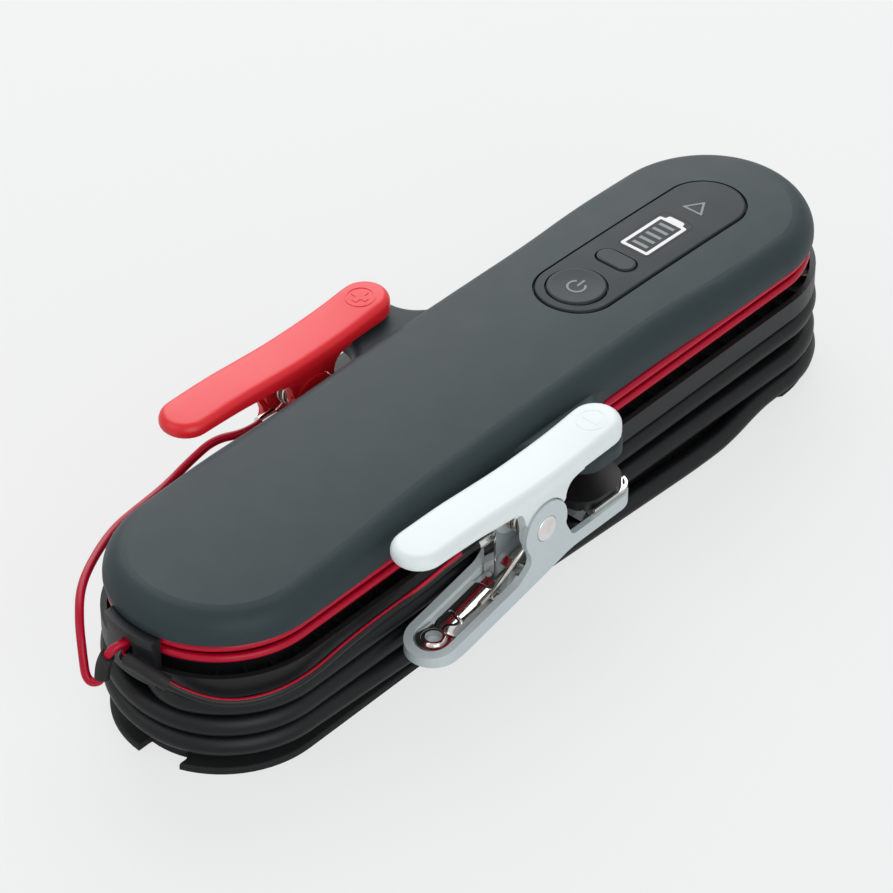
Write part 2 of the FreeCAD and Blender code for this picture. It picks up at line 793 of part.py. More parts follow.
def lead_stations(r, high, leave):
    """Points and headings of one wound lead, from the gland to just before the anchor's keyhole."""
    h = half_straight
    low = high - lead_step
    a = math.radians(190)
    x0 = gland_window()[1] + 2
    return [
        (V(x0, r, high), V(1, 0, 0)),
        (V(h, r, high), V(1, 0, 0)),
        (V(h, -r, high), V(-1, 0, 0)),
        (V(-h, -r, high), V(-1, 0, 0)),
        (V(-h - r, 0, high - 0.4), V(0, 1, -0.03)),
        (V(-h, r, low - 1.2), V(1, 0, 0)),
        (V(-h + 8, r, low - 1.2), V(1, 0, 0)),
        (V(h, r, low), V(1, 0, 0)),
        (V(h, -r, low), V(-1, 0, 0)),
        (V(-h, -r, low), V(-1, 0, 0)),
        (V(-h + r * math.cos(a), r * math.sin(a), leave), V(math.sin(a), -math.cos(a), 0)),
    ]


def straight_end(stations, length):
    """The same stations with a straight run added at the end."""
    p, t = stations[-1]
    return stations + [(p + V(t).normalize() * length, t)]


def positive_points(start, way):
    """Points of the free positive lead, from the winding's end to its terminal in the far clamp."""
    mouth = terminal_mouth(1)
    e = -half_straight
    m = mouth.x
    return [start, start + way * 6.0, V(e - 42.2, 4.2, rim - 6.2), V(e - 43.2, 6.8, rim - 12.2),
            V(e - 43.8, 7.4, rim - 19.8), V(e - 46.2, 11.4, rim - 20.4), V(e - 44.2, 14.4, rim - 12.2),
            V(e - 39.6, 20.0, rim - 5.8), V(e - 31.0, 28.0, rim - 3.2), V(e - 19.0, 34.6, rim - 3.0),
            V(e - 3.0, 42.0, rim - 5.4), V(m - 50.0, 50.0, rim - 13.0), V(m - 33.2, 54.0, rim - 16.3),
            V(m - 21.0, 53.6, rim - 12.0), V(m - 12.6, 51.6, rim - 8.0), mouth - V(6.5, 0, 0), mouth]


def negative_points(start, way):
    """Points of the free negative lead, from the winding's end to its terminal in the near clamp."""
    mouth = terminal_mouth(-1)
    e = -half_straight
    m = mouth.x
    return [start, start + way * 6.0, V(e - 40.2, 3.4, rim - 9.6), V(e - 40.2, -3.8, rim - 8.4),
            V(e - 38.6, -11.0, rim - 10.8), V(e - 34.6, -17.8, rim - 15.4), V(e - 28.6, -26.6, rim - 18.4),
            V(e - 19.6, -34.2, rim - 18.6), V(e - 5.0, -38.6, rim - 17.8), V(m - 50.0, -38.6, rim - 15.2),
            V(m - 33.0, -38.6, rim - 14.8), V(m - 19.0, -39.2, rim - 14.2), mouth - V(6.5, 0, 0), mouth]


def terminal_mouth(s):
    """Where a lead enters the terminal of its clamp."""
    return V(pivot_x - 19.2, s * (clamp_y - terminal_set_in), pivot_z - 0.9)


def sleeve(edges):
    """Short soft sleeve round a lead, following it."""
    outer = tube(edges, lead_radius + sleeve_play + sleeve_wall)
    return outer.cut(tube(edges, lead_radius + sleeve_play))


def make_lead_anchor():
    """Curved black plate at the lead end, with a keyhole for both leads and a foot in the tray."""
    h = half_straight
    inner = end_radius - anchor_gap
    outer = inner + anchor_thickness
    top = rim - 0.6
    low = top - anchor_height
    y0, y1 = anchor_low_y, anchor_high_y
    zone = plan([(-body_length, y0, 0), (-h - 10, y0, 0), (-h - 10, y1, 0), (-body_length, y1, 0)], low - 5, rim)
    plate = oval(outer, low, top).fuse(oval(outer + anchor_bead, top - 2.8, top))
    plate = plate.cut(oval(inner, low - 1, rim)).common(zone)
    tray = base_height + tray_floor
    foot = oval(inner + 0.5, tray, tray + 1.6).cut(oval(inner - 3, tray - 1, rim)).common(zone)
    ym, r = (keyhole_low_y + keyhole_high_y) / 2, (keyhole_high_y - keyhole_low_y) / 2
    hole = box(-body_length, -h - 10, keyhole_low_y, keyhole_high_y, rim - 11.3 + r, rim - 4.2 - r)
    for z in (rim - 11.3 + r, rim - 4.2 - r):
        hole = hole.fuse(Part.makeCylinder(r, body_length, V(-body_length, ym, z), V(1, 0, 0)))
    hole = hole.common(box(-body_length, -h - 10, -20, 20, 0, rim))
    return plate.fuse(foot).cut(hole).removeSplitter()


def at_pivot(corners):
    """Corners given from the pivot, moved to their place beside the body."""
    k = clamp_scale
    return [(pivot_x + u * k, pivot_z + v * k, r * k) for u, v, r in corners]


def clamp_side(corners, half_low, half_high):
    """Solid from corners in X and Z round the pivot, between two distances across the clamp."""
    return side(at_pivot(corners), clamp_y + half_low, clamp_y + half_high)


def round_pivot(radius, half_low, half_high):
    """Disc about the pivot's axis."""
    return Part.makeCylinder(radius, half_high - half_low, V(pivot_x, clamp_y + half_low, pivot_z), V(0, 1, 0))


def clamp_plan(back, front, half, round_back, round_front):
    """Outline of a clamp half seen from above, cut high and low."""
    x0, x1 = pivot_x + back * clamp_scale, pivot_x + front * clamp_scale
    return plan([(x0, clamp_y - half, round_back), (x1, clamp_y - half, round_front),
                 (x1, clamp_y + half, round_front), (x0, clamp_y + half, round_back)], 0, crown_top + 20)


def make_clamp_base():
    """Lower half of a clamp: channel-shaped jaw, cheeks round the pin and a trough-shaped handle."""
    w = clamp_half_width
    body = clamp_side([(-9.3, 0, 0), (-6.4, -9.9, 4), (-12.7, -14.7, 5), (-33, -19.0, 80), (-56, -23.6, 0),
                       (-56, -26.1, 0), (-38, -25.6, 40), (-2.9, -18.2, 40), (12, -14.7, 30), (46, -14.7, 0),
                       (46, -10.1, 0), (12.4, -10.1, 3), (9.3, -4.1, 6), (7.8, 5.4, 0), (0, 0, 0)], -w, w)
    body = body.fuse(round_pivot(cheek_radius, -w, w))
    body = body.common(clamp_plan(-50.6, 44.2, w, w - 0.1, w - 0.6))
    inner = w - clamp_wall
    body = body.cut(clamp_side([(-12, 30, 0), (-12, -12.4, 0), (-6.2, -16.2, 1.5), (12, -12.7, 10), (42, -12.7, 1.5),
                                (42, 30, 0)], -inner, inner))
    trough = w - trough_rim
    hollow = clamp_side([(-50, 0, 0), (-50, -23.9, 0), (-30.5, -22.4, 20), (-4, -17.4, 0), (-4, 0, 0)],
                        -trough, trough)
    body = body.cut(hollow.common(clamp_plan(-47.7, 0, trough, trough - 0.1, 0)))
    body = body.cut(round_pivot(pin_radius + pin_play, -w - 1, w + 1))
    for lo, hi in ((-w - 1, pin_head_sunk - w), (w - pin_head_sunk, w + 1)):
        body = body.cut(round_pivot(pin_head_radius + 0.15, lo, hi))
    return body.removeSplitter()


def strip_line():
    """Underside of the contact strip from the pivot: along the trough, up over the floor, into the jaw."""
    return [(-42, -23.0), (-30.5, -22.1), (-6.6, -17.5), (-4.2, -15.65), (12, -12.5), (20.5, -12.5), (22.6, -10.0),
            (42.9, -10.0)]


def make_contact():
    """Contact strip from the eyelet in the handle to the plate in the jaw."""
    t = strip_thickness
    line = strip_line()
    corners = [(u, v, 0) for u, v in line] + [(u, v + t, 0) for u, v in reversed(line)]
    strip = clamp_side(corners, -strip_half_width, strip_half_width)
    w = clamp_half_width - 1.0
    jaw = clamp_side([(22.6, -10.0, 0), (42.9, -10.0, 0), (42.9, -10.0 + t, 0), (22.6, -10.0 + t, 0)], -w, w)
    jaw = jaw.common(clamp_plan(20, 42.9, w, 4.5, 5))
    low = pivot_z - 10.0 * clamp_scale
    rim_wall = clamp_plan(20, 42.9, w, 4.5, 5).cut(clamp_plan(20 + t, 42.9 - t, w - t, 4.5 - t, 5 - t))
    rim_wall = rim_wall.common(box(pivot_x + 24, pivot_x + 50, clamp_y + w / 2, clamp_y + w + 1,
                                   low, low + t + liner_rim_height))
    eye = V(pivot_x - 41.5 * clamp_scale, clamp_y, pivot_z - 22.6 * clamp_scale)
    ring = Part.makeCylinder(strip_half_width, t, eye)
    curl = Part.makeCylinder(eyelet_radius, t + eyelet_height, eye)
    curl = curl.makeFillet(eyelet_height * 0.9, [e for e in curl.Edges if abs(e.CenterOfMass.z - eye.z) > t])
    strip = strip.common(clamp_plan(-41.5, 42.9, strip_half_width, 0, 3.3))
    strip = strip.fuse([jaw, rim_wall, ring, curl]).cut(Part.makeCylinder(eyelet_hole, 5, eye - V(0, 0, 1)))
    return strip.removeSplitter()


def make_terminal():
    """Crimped barrel that holds the lead, on a tab that stands on the contact strip."""
    barrel = Part.makeCylinder(terminal_radius, 6.4, terminal_mouth(1), V(1, 0, 0))
    t = strip_thickness
    (u0, v0), (u1, v1) = strip_line()[1:3]
    slope = (v1 - v0) / (u1 - u0)

    def top(u):
        return v0 + slope * (u - u0) + t + 0.02

    tab = clamp_side([(-12.8, 0.5, 0), (-12.8, top(-12.8), 0), (-7.2, top(-7.2), 0), (-7.2, top(-7.2) + t, 0),
                      (-12.0, top(-12.0) + t, 0), (-12.0, 0.5, 0)],
                     -2.0 - terminal_set_in, 2.0 - terminal_set_in)
    return barrel.fuse(tab).removeSplitter()


def make_pin():
    """Hinge pin with a broad head on each side."""
    w = clamp_half_width - pin_head_sunk + 0.02
    pin = round_pivot(pin_radius, -w - 0.5, w + 0.5)
    heads = []
    for s in (-1, 1):
        lo, hi = sorted((s * w, s * (w + pin_head_thickness)))
        head = round_pivot(pin_head_radius, lo, hi)
        face = clamp_y + s * (w + pin_head_thickness)
        heads.append(head.makeFillet(0.3, [e for e in head.Edges if abs(e.CenterOfMass.y - face) < 0.01]))
    return pin.fuse(heads).removeSplitter()


def spring_edges():
    """Wire of the torsion spring: a leg under the lever, the coil, and a leg to the handle's floor."""
    stations = []
    turn = 360 * spring_turns + 120
    steps = 2 * spring_turns
    first = -spring_pitch * turn / 360 / 2

    def on_coil(angle, across):
        t = math.radians(angle)
        return V(pivot_x + spring_radius * math.cos(t), clamp_y + across, pivot_z + spring_radius * math.sin(t))

    def heading(angle, slope=0.0):
        t = math.radians(angle)
        return V(math.sin(t), slope, -math.cos(t)).normalize()

    start = on_coil(60, first)
    stations.append((start - heading(60) * 20.3, heading(60)))
    stations.append((start, heading(60)))
    climb = spring_pitch / (2 * math.pi * spring_radius)
    for i in range(steps + 1):
        angle = 60 - 120 - 180 * i
        across = first + spring_pitch * (120 + 180 * i) / 360
        stations.append((on_coil(angle, across), heading(angle, climb if i < steps else 0.0)))
    end, way = stations[-1]
    stations.append((end + way * 25.0, way))
    return wound_path(stations)


def make_spring():
    edges = spring_edges()
    least_gap("spring", edges, spring_wire, 0.5)
    return tube(edges, spring_wire / 2)


def make_lever():
    """Upper half of a clamp: hollow paddle with inner cheeks that turn on the pin."""
    w = lever_half_width
    corners = [(-56.5, 19.9, 0), (-8.2, 17.4, 150), (37.1, 17.4, 0), (37.1, 12.7, 0), (13.7, 12.5, 4),
               (9.8, 10.2, 2), (-9.7, 10.2, 2), (-12.7, 13.9, 3), (-56.5, 14.6, 0)]
    lever = clamp_side(corners, -w, w).common(clamp_plan(-56.5, 37.1, w, w - 0.1, w - 0.1))
    lever = lever.makeFillet(lever_edge_round, top_edges(lever, pivot_z + 17.0 * clamp_scale))
    t = lever_wall
    hollow = clamp_side([(-54, 17.6, 1), (-8.2, 15.2, 150), (34.9, 15.2, 1), (34.9, 0, 0), (-54, 0, 0)],
                        t - w, w - t)
    hollow = hollow.common(clamp_plan(-56.5 + t, 37.1 - t, w - t, w - t - 0.1, w - t - 0.1))
    lever = lever.cut(hollow)
    high = clamp_half_width - clamp_wall - side_play
    low = high - lever_cheek_thickness
    for a, b in ((-high, -low), (low, high)):
        cheek = clamp_side([(-10.8, 16, 0), (-9.4, 8.8, 2), (-7.7, 2, 0), (0, 0, 0), (7.2, 3.4, 0), (7.2, 9.4, 1.5),
                            (13.7, 12.5, 3), (16, 16, 0)], a, b)
        lever = lever.fuse([cheek, round_pivot(lug_radius, a, b)])
    return lever.cut(round_pivot(pin_radius + pin_play, -w - 1, w + 1)).removeSplitter()


def make_upper_jaw():
    """Metal plate under the lever's nose that rests on the ear, with turned-up tabs."""
    bottom = rim + top_ear_thickness + jaw_play - pivot_z
    top = 15.15
    w = 4.5
    corners = [(14.5, bottom, 0.4), (32.0, bottom, 0.4), (32.0, top, 0), (31.2, top, 0), (31.2, bottom + 0.9, 0),
               (15.3, bottom + 0.9, 0), (15.3, top, 0), (14.5, top, 0)]
    return clamp_side(corners, -w, w)


def both(name, shape):
    """Save a clamp piece for the far side and its mirror image for the near side."""
    save("positive_" + name, shape)
    save("negative_" + name, shape.mirror(V(0, 0, 0), V(0, 1, 0)))


def make_board():
    board = oval(board_radius, base_height - 0.1, board_top, half_straight - 3)
    holes = [post(x, y, screw_radius + 0.15, 0, rim) for x, y in screw_places]
    notch = make_guard_block(0, rim)
    return board.cut(holes).cut(notch)


def make_transformer():
    """Core of two E halves round a wound bobbin."""
    x, l, w, t = transformer_x, transformer_length / 2, transformer_width / 2, transformer_height
    core = box(x - l, x + l, -w * 0.6, w * 0.6, board_top + 2, board_top + t)
    winding = box(x - l * 0.62, x + l * 0.62, -w, w, board_top, board_top + t - 3)
    winding = winding.makeFillet(3, [e for e in winding.Edges if abs(e.tangentAt(0).z) > 0.9])
    return core.fuse(winding)


def make_capacitors():
    cans = [post(capacitor_x + (i - 1) * capacitor_pitch, 0, capacitor_radius, board_top, board_top + capacitor_height)
            for i in range(3)]
    return Part.makeCompound(cans)


def make_heat_sink():
    """Upright fins on a thick base."""
    l, p, f = heat_sink_length / 2, heat_sink_pitch, heat_sink_fin
    width = p * (heat_sink_fins - 1) / 2
    sink = box(heat_sink_x - l, heat_sink_x + l, -width - f / 2, width + f / 2, board_top, board_top + 3)
    fins = [box(heat_sink_x - l, heat_sink_x + l, -width + i * p - f / 2, -width + i * p + f / 2, board_top + 2,
                board_top + heat_sink_height) for i in range(heat_sink_fins)]
    return sink.fuse(fins).removeSplitter()


def make_transistors():
    """Flat power transistors against the heat sink's side."""
    y = heat_sink_pitch * (heat_sink_fins - 1) / 2 + heat_sink_fin / 2
    pieces = []
    for i in range(3):
        x = heat_sink_x + (i - 1) * transistor_pitch
        body = box(x - 5, x + 5, y, y + 4.4, board_top + 3, board_top + 12)
        tab = box(x - 5, x + 5, y, y + 1.3, board_top + 12, board_top + 16)
        legs = box(x - 3, x + 3, y + 1.6, y + 2.2, board_top, board_top + 3)
        pieces.append(body.fuse([tab, legs]))
    return Part.makeCompound(pieces)


def make_screws():
    screws = []
    for x, y in screw_places:
        head = post(x, y, screw_head_radius, screw_seat - screw_head_height, screw_seat)
        slot = box(x - 2, x + 2, y - 0.4, y + 0.4, 0, screw_seat - screw_head_height + 1)
        cross = box(x - 0.4, x + 0.4, y - 2, y + 2, 0, screw_seat - screw_head_height + 1)
        screws.append(head.fuse(post(x, y, screw_radius, screw_seat - 0.5, board_top + screw_bite)).cut([slot, cross]))
    return Part.makeCompound(screws)


low_all, high_all = rim - 20, rim + crown_rise + 5
panel_skin = crown(-panel_proud).cut(crown(panel_thickness - panel_proud))
save("top_shell", make_top_shell())
save("control_panel", make_control_panel())
save("battery_window", lens_outline(0, low_all, high_all).common(panel_skin))
save("warning_window", warning_outline(0, low_all, high_all).common(panel_skin))
save("power_button", make_power_button())
save("mode_button", make_mode_button())
save("display_board", make_display_board())
save("push_switches", make_switches())
save("status_lamps", make_leds())
save("circuit_board", make_board())
save("transformer", make_transformer())
save("capacitors", make_capacitors())
save("heat_sink", make_heat_sink())
save("power_transistors", make_transistors())
save("middle_housing", make_mid_housing())
save("base_shell", make_base())
save("housing_screws", make_screws())
save("lead_anchor", make_lead_anchor())
save("lead_gland", make_lead_gland())
save("mains_guard", make_cord_guard())

mains_edges = wound_path(mains_stations())
least_gap("mains winding", mains_edges, mains_diameter, 2.0)
save("mains_winding", tube(mains_edges, mains_radius))
save("mains_tail", tube(route(tail_points(), "mains tail"), mains_radius))
save("mains_plug", make_plug())
save("plug_pins", make_plug_pins())

for name, radius, high, leave, points in (
        ("positive", positive_wind_radius, rim - 2.2, rim - 6.2, positive_points),
        ("negative", negative_wind_radius, rim - 4.3, rim - 9.5, negative_points)):
    stations = straight_end(lead_stations(radius, high, leave), lead_diameter)
    winding = wound_path(stations)
    least_gap(name + " winding", winding, lead_diameter, 1.5)
    save(name + "_lead_winding", tube(winding, lead_radius))
    end, way = stations[-1]
    free = route(points(end, V(way).normalize()), name + " lead")
    save(name + "_lead", tube(free, lead_radius))
    save(name + "_lead_sleeve", sleeve(free[4:7] if name == "positive" else free[5:8]))

both("clamp_base", make_clamp_base())
both("clamp_contact", make_contact())
both("lead_terminal", make_terminal())
both("clamp_pin", make_pin())
both("clamp_spring", make_spring())
both("clamp_lever", make_lever())
both("clamp_upper_jaw", make_upper_jaw())
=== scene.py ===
"""Dresses the solids of a battery charging pack: wound cords, spring clamps, control panel and finishes."""
from math import ceil, cos, pi, radians, sin, sqrt, tan

import bmesh
import bpy
from bpy.props import FloatProperty, FloatVectorProperty, IntProperty, PointerProperty
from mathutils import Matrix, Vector
from mathutils.bvhtree import BVHTree


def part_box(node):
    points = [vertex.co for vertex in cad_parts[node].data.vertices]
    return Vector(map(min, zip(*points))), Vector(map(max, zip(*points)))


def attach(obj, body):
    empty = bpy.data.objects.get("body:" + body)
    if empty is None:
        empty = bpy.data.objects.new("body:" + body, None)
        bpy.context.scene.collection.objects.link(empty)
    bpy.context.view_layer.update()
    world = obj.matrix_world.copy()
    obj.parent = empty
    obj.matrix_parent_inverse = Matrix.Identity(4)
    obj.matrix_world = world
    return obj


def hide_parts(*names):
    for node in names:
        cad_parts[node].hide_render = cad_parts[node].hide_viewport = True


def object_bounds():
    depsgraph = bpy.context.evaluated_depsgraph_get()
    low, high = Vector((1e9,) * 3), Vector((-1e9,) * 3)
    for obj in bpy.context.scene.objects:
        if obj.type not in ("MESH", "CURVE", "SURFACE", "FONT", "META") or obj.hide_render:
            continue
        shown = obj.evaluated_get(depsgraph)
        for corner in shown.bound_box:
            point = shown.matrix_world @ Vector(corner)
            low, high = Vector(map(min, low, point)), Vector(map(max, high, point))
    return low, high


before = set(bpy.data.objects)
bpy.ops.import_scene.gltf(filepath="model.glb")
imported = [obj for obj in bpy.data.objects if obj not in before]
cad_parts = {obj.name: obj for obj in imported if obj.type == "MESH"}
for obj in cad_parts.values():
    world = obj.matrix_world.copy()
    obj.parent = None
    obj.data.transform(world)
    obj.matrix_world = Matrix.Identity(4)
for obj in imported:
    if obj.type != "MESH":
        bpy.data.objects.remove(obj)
solid_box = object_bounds()

bl_info = {
    "name": "Charging pack",
    "version": (1, 0, 0),
    "blender": (4, 5, 0),
    "location": "3D View > Sidebar > Charging pack",
    "description": "Cords, clamps, control panel and finishes of a battery charging pack",
    "category": "Object",
}

# One millimetre in metres: lengths below are in millimetres unless a name or comment says otherwise
MM = 0.001

# Radius of the body's round ends
END_RADIUS = 35.0

# Whose names the two leads and clamps carry: the red clamp is the positive one
SIDES = ("positive", "negative")
LEVER_FINISHES = {"positive": "clamp_red", "negative": "clamp_white"}


def size(name, text, default):
    """A length in metres that a user may change; the default is given in millimetres."""
    return FloatProperty(name=name, description=text, default=default * MM, unit="LENGTH", precision=5)


def colour(name, text, default):
    """A colour that a user may change, in linear light."""
    return FloatVectorProperty(name=name, description=text, default=default, subtype="COLOR", size=3,
                               min=0, max=1)


class CordSettings(bpy.types.PropertyGroup):
    """Sizes of the mains cable and the two clamp leads."""

    mains_diameter: size("Mains diameter", "Thickness of the mains cable", 7.2)
    mains_length: size("Mains length", "Mains cable from its guard to its plug", 1868.0)
    mains_radius: size("Mains winding", "Distance of the mains cable from the body's middle line", 33.3)
    mains_pitch: size("Mains pitch", "Distance between two turns of the mains cable", 7.85)
    lead_diameter: size("Lead diameter", "Thickness of a clamp lead", 2.8)
    positive_length: size("Positive length", "Positive lead from the body to its clamp", 1425.0)
    negative_length: size("Negative length", "Negative lead from the body to its clamp", 1383.0)
    positive_radius: size("Positive winding", "Distance of the positive lead from the middle line", 32.6)
    negative_radius: size("Negative winding", "Distance of the negative lead from the middle line", 30.2)
    lead_step: size("Lead step", "Drop of a lead from its first turn to its second", 4.2)
    stripe_width: size("Stripe", "Width of the coloured stripe along the dark lead", 1.3)


class PanelSettings(bpy.types.PropertyGroup):
    """Sizes of the marks on the control panel."""

    mark_thickness: size("Print", "How far a printed mark stands up", 0.10)
    line: size("Battery line", "Width of the battery outline", 1.25)
    battery_length: size("Battery length", "Battery outline without its cap", 20.6)
    battery_width: size("Battery width", "Battery outline across", 11.2)
    cap_length: size("Battery cap", "Length of the cap on the battery outline", 1.9)
    cap_width: size("Battery cap width", "Width of the cap on the battery outline", 6.6)
    bars: IntProperty(name="Bars", description="Level bars in the battery outline", default=5, min=1, max=9)
    bar_pitch: size("Bar pitch", "Distance between two level bars", 3.35)
    bar_length: size("Bar length", "Length of a level bar across the panel", 6.0)
    bar_width: size("Bar width", "Width of a level bar", 1.4)
    warning_side: size("Warning triangle", "Outer side of the warning triangle", 8.2)
    warning_line: size("Warning line", "Width of the warning triangle's line at its corners", 1.44)
    symbol_radius: size("Power symbol", "Middle radius of the power symbol's ring", 2.9)
    symbol_line: size("Power symbol line", "Width of the power symbol's line", 0.75)


class ClampSettings(bpy.types.PropertyGroup):
    """Sizes of the small pieces of the two clamps."""

    lever_round: size("Lever edge", "Rounding round the top of a lever", 2.8)
    lever_rim_round: size("Lever rim", "Rounding along the lower rim of a lever", 1.6)
    lever_wall: size("Lever wall", "Wall of the hollow lever", 2.0)
    lever_roof: size("Lever roof", "Thickness of the lever's top", 2.1)
    nose_reach: size("Nose", "From the pin's middle to the tip of a lever's nose", 41.0)
    tail_reach: size("Tail", "From the pin's middle to the end of a lever's tail", 56.5)
    cheek_clear: size("Cheek hollow", "Hollow of a lever's neck round the base's cheeks", 9.8)
    spring_radius: size("Spring radius", "Middle radius of a spring's coil", 4.6)
    spring_wire: size("Spring wire", "Thickness of a spring's wire", 1.7)
    spring_pitch: size("Spring pitch", "Distance between two turns of a spring", 2.3)
    spring_leg: size("Spring leg", "Length of the leg under the lever", 20.3)
    liner_reach: size("Liner", "From the strip's middle to the edge of its crowned face", 6.85)
    liner_crown: size("Liner crown", "Height of the strip's crowned face", 1.1)
    bridge_width: size("Strip bridge", "Width of the small bridge across the contact strip", 0.9)
    sign_radius: size("Sign radius", "Radius of the ring round the polarity sign", 4.6)
    sign_line: size("Sign line", "Width of the polarity sign's lines", 0.6)
    sign_height: size("Sign height", "How far the polarity sign stands up", 0.2)
    sign_x: size("Sign place", "Distance of the sign behind the lever's nose", 10.0)


class FinishColours(bpy.types.PropertyGroup):
    """Colours of the finishes."""

    body: colour("Body", "Grey moulding of the top shell", (0.026, 0.040, 0.045))
    panel: colour("Panel", "Insert of the control panel", (0.014, 0.020, 0.023))
    button: colour("Buttons", "Caps of the two buttons", (0.013, 0.021, 0.028))
    tray: colour("Tray", "Moulding of the cable tray and the lead anchor", (0.0095, 0.0105, 0.0115))
    base: colour("Base", "Dark moulding of the base", (0.023, 0.0235, 0.0245))
    cable: colour("Mains cable", "Sheath of the mains cable", (0.0055, 0.006, 0.007))
    red_lead: colour("Positive lead", "Insulation of the positive lead", (0.47, 0.001, 0.024))
    dark_lead: colour("Negative lead", "Insulation of the negative lead", (0.008, 0.008, 0.009))
    red_clamp: colour("Positive clamp", "Moulding of the positive clamp", (0.80, 0.012, 0.022))
    pale_frame: colour("Negative clamp frame", "Lower half of the negative clamp", (0.56, 0.63, 0.65))
    white_lever: colour("Negative clamp lever", "Upper half of the negative clamp", (0.81, 0.87, 0.87))
    nickel: colour("Nickel", "Plated strips and terminals", (0.70, 0.69, 0.67))
    print_white: colour("Print", "Battery outline", (0.86, 0.87, 0.87))
    print_grey: colour("Dim print", "Bars, triangle and power symbol", (0.23, 0.27, 0.29))
    laminate: colour("Circuit board", "Green laminate", (0.015, 0.13, 0.05))


class StageSettings(bpy.types.PropertyGroup):
    """Camera and light."""

    aim: FloatVectorProperty(name="Aim", description="Point that the camera looks at", subtype="XYZ",
                             unit="LENGTH", default=(-0.01387, -0.00031, 0.03681))
    azimuth: FloatProperty(name="Azimuth", description="Turn of the camera round the pack", subtype="ANGLE",
                           default=radians(-48.63))
    elevation: FloatProperty(name="Elevation", description="Height of the camera above the horizon",
                             subtype="ANGLE", default=radians(38.39))
    distance: FloatProperty(name="Distance", description="From the aim to the camera", unit="LENGTH",
                            default=1.40816)
    lens: FloatProperty(name="Lens", description="Focal length in millimetres", default=182.2)
    backdrop: colour("Backdrop", "Colour of the floor and what lies behind it", (0.885, 0.887, 0.887))


GROUPS = {"pack_cords": CordSettings, "pack_panel": PanelSettings, "pack_clamps": ClampSettings,
          "pack_colours": FinishColours, "pack_stage": StageSettings}


def settings(name):
    """The settings of one group in the open scene."""
    return getattr(bpy.context.scene, name)


# Shader building

class Reading:
    """A number that a material works out; sums and products of readings add Math nodes to its tree."""

    def __init__(self, tree, socket):
        self.tree = tree
        self.socket = socket

    def math(self, operation, *others, clamp=False):
        step = self.tree.nodes.new("ShaderNodeMath")
        step.operation = operation
        step.use_clamp = clamp
        for place, value in enumerate((self, *others)):
            if isinstance(value, Reading):
                self.tree.links.new(value.socket, step.inputs[place])
            else:
                step.inputs[place].default_value = value
        return Reading(self.tree, step.outputs[0])

    def __add__(self, other):
        return self.math("ADD", other)

    def __sub__(self, other):
        return self.math("SUBTRACT", other)

    def __rsub__(self, other):
        return self.math("MULTIPLY_ADD", -1.0, other)

    def __mul__(self, other):
        return self.math("MULTIPLY", other)

    __radd__ = __add__
    __rmul__ = __mul__

    def between(self, low, high):
        """Nought below low and one above high, with a straight rise from one to the other."""
        return ((self - low) * (1.0 / (high - low))).math("ADD", 0.0, clamp=True)


class Finish:
    """One material in the making: its tree, its surface and the nodes that feed it."""

    def __init__(self, name, roughness=0.5, metallic=0.0, specular=0.5):
        self.material = bpy.data.materials.new(name)
        self.material.use_nodes = True
        self.tree = self.material.node_tree
        self.surface = self.tree.nodes["Principled BSDF"]
        constants = {"Roughness": roughness, "Metallic": metallic, "Specular IOR Level": specular}
        for socket, value in constants.items():
            self.surface.inputs[socket].default_value = value
        self.place = self.node("ShaderNodeTexCoord").outputs["Object"]

    def node(self, kind, options=None, **values):
        """A node of one kind: its options are set first, then its sockets, by value or by link."""
        made = self.tree.nodes.new(kind)
        for key, value in (options or {}).items():
            setattr(made, key, value)
        for key, value in values.items():
            socket = made.inputs[key.replace("_", " ")]
            if isinstance(value, Reading):
                value = value.socket
            if isinstance(value, bpy.types.NodeSocket):
                self.tree.links.new(value, socket)
            else:
                socket.default_value = value
        return made

    def noise(self, grain, detail=2.0, stretch=(1, 1, 1)):
        """Cloudy noise whose blotches are about grain millimetres across."""
        where = self.node("ShaderNodeMapping", None, Vector=self.place, Scale=stretch).outputs[0]
        made = self.node("ShaderNodeTexNoise", None, Vector=where, Scale=1 / (grain * MM), Detail=detail,
                         Roughness=0.55)
        return Reading(self.tree, made.outputs[0])

    def cells(self, grain):
        """Distance to the middle of random cells about grain millimetres across."""
        made = self.node("ShaderNodeTexVoronoi", None, Vector=self.place, Scale=1 / (grain * MM))
        return Reading(self.tree, made.outputs[0])

    def mix(self, mask, first, second):
        """A colour that goes from first to second as the mask goes from nought to one."""
        made = self.node("ShaderNodeMix", {"data_type": "RGBA"})
        self.tree.links.new(mask.socket, made.inputs[0])
        for place, value in ((6, first), (7, second)):
            made.inputs[place].default_value = (*value, 1.0)
        return made.outputs[2]

    def coat(self, tone, roughness, relief=None, depth=0.0):
        """Give the surface a colour, a roughness and a relief of some depth; return the material."""
        self.tree.links.new(tone, self.surface.inputs["Base Color"])
        self.tree.links.new(roughness.socket, self.surface.inputs["Roughness"])
        if relief is not None:
            bump = self.node("ShaderNodeBump", None, Height=relief, Distance=depth * MM, Strength=1.0)
            self.tree.links.new(bump.outputs[0], self.surface.inputs["Normal"])
        return self.material


def seen_ray(tree, glossy=1.0):
    """One for a ray that shows the background: from the camera, through a clear face or off a glossy one."""
    rays = tree.nodes.new("ShaderNodeLightPath")
    seen = Reading(tree, rays.outputs["Is Camera Ray"])
    seen = seen.math("MAXIMUM", Reading(tree, rays.outputs["Is Transmission Ray"]))
    return seen.math("MAXIMUM", Reading(tree, rays.outputs["Is Glossy Ray"]) * glossy)


def blend_shaders(tree, share, first, second, target):
    """Lead two shaders to a target socket: the second one as far as the share reaches one."""
    both = tree.nodes.new("ShaderNodeMixShader")
    for place, source in enumerate((share.socket, first.outputs[0], second.outputs[0])):
        tree.links.new(source, both.inputs[place])
    tree.links.new(both.outputs[0], target)


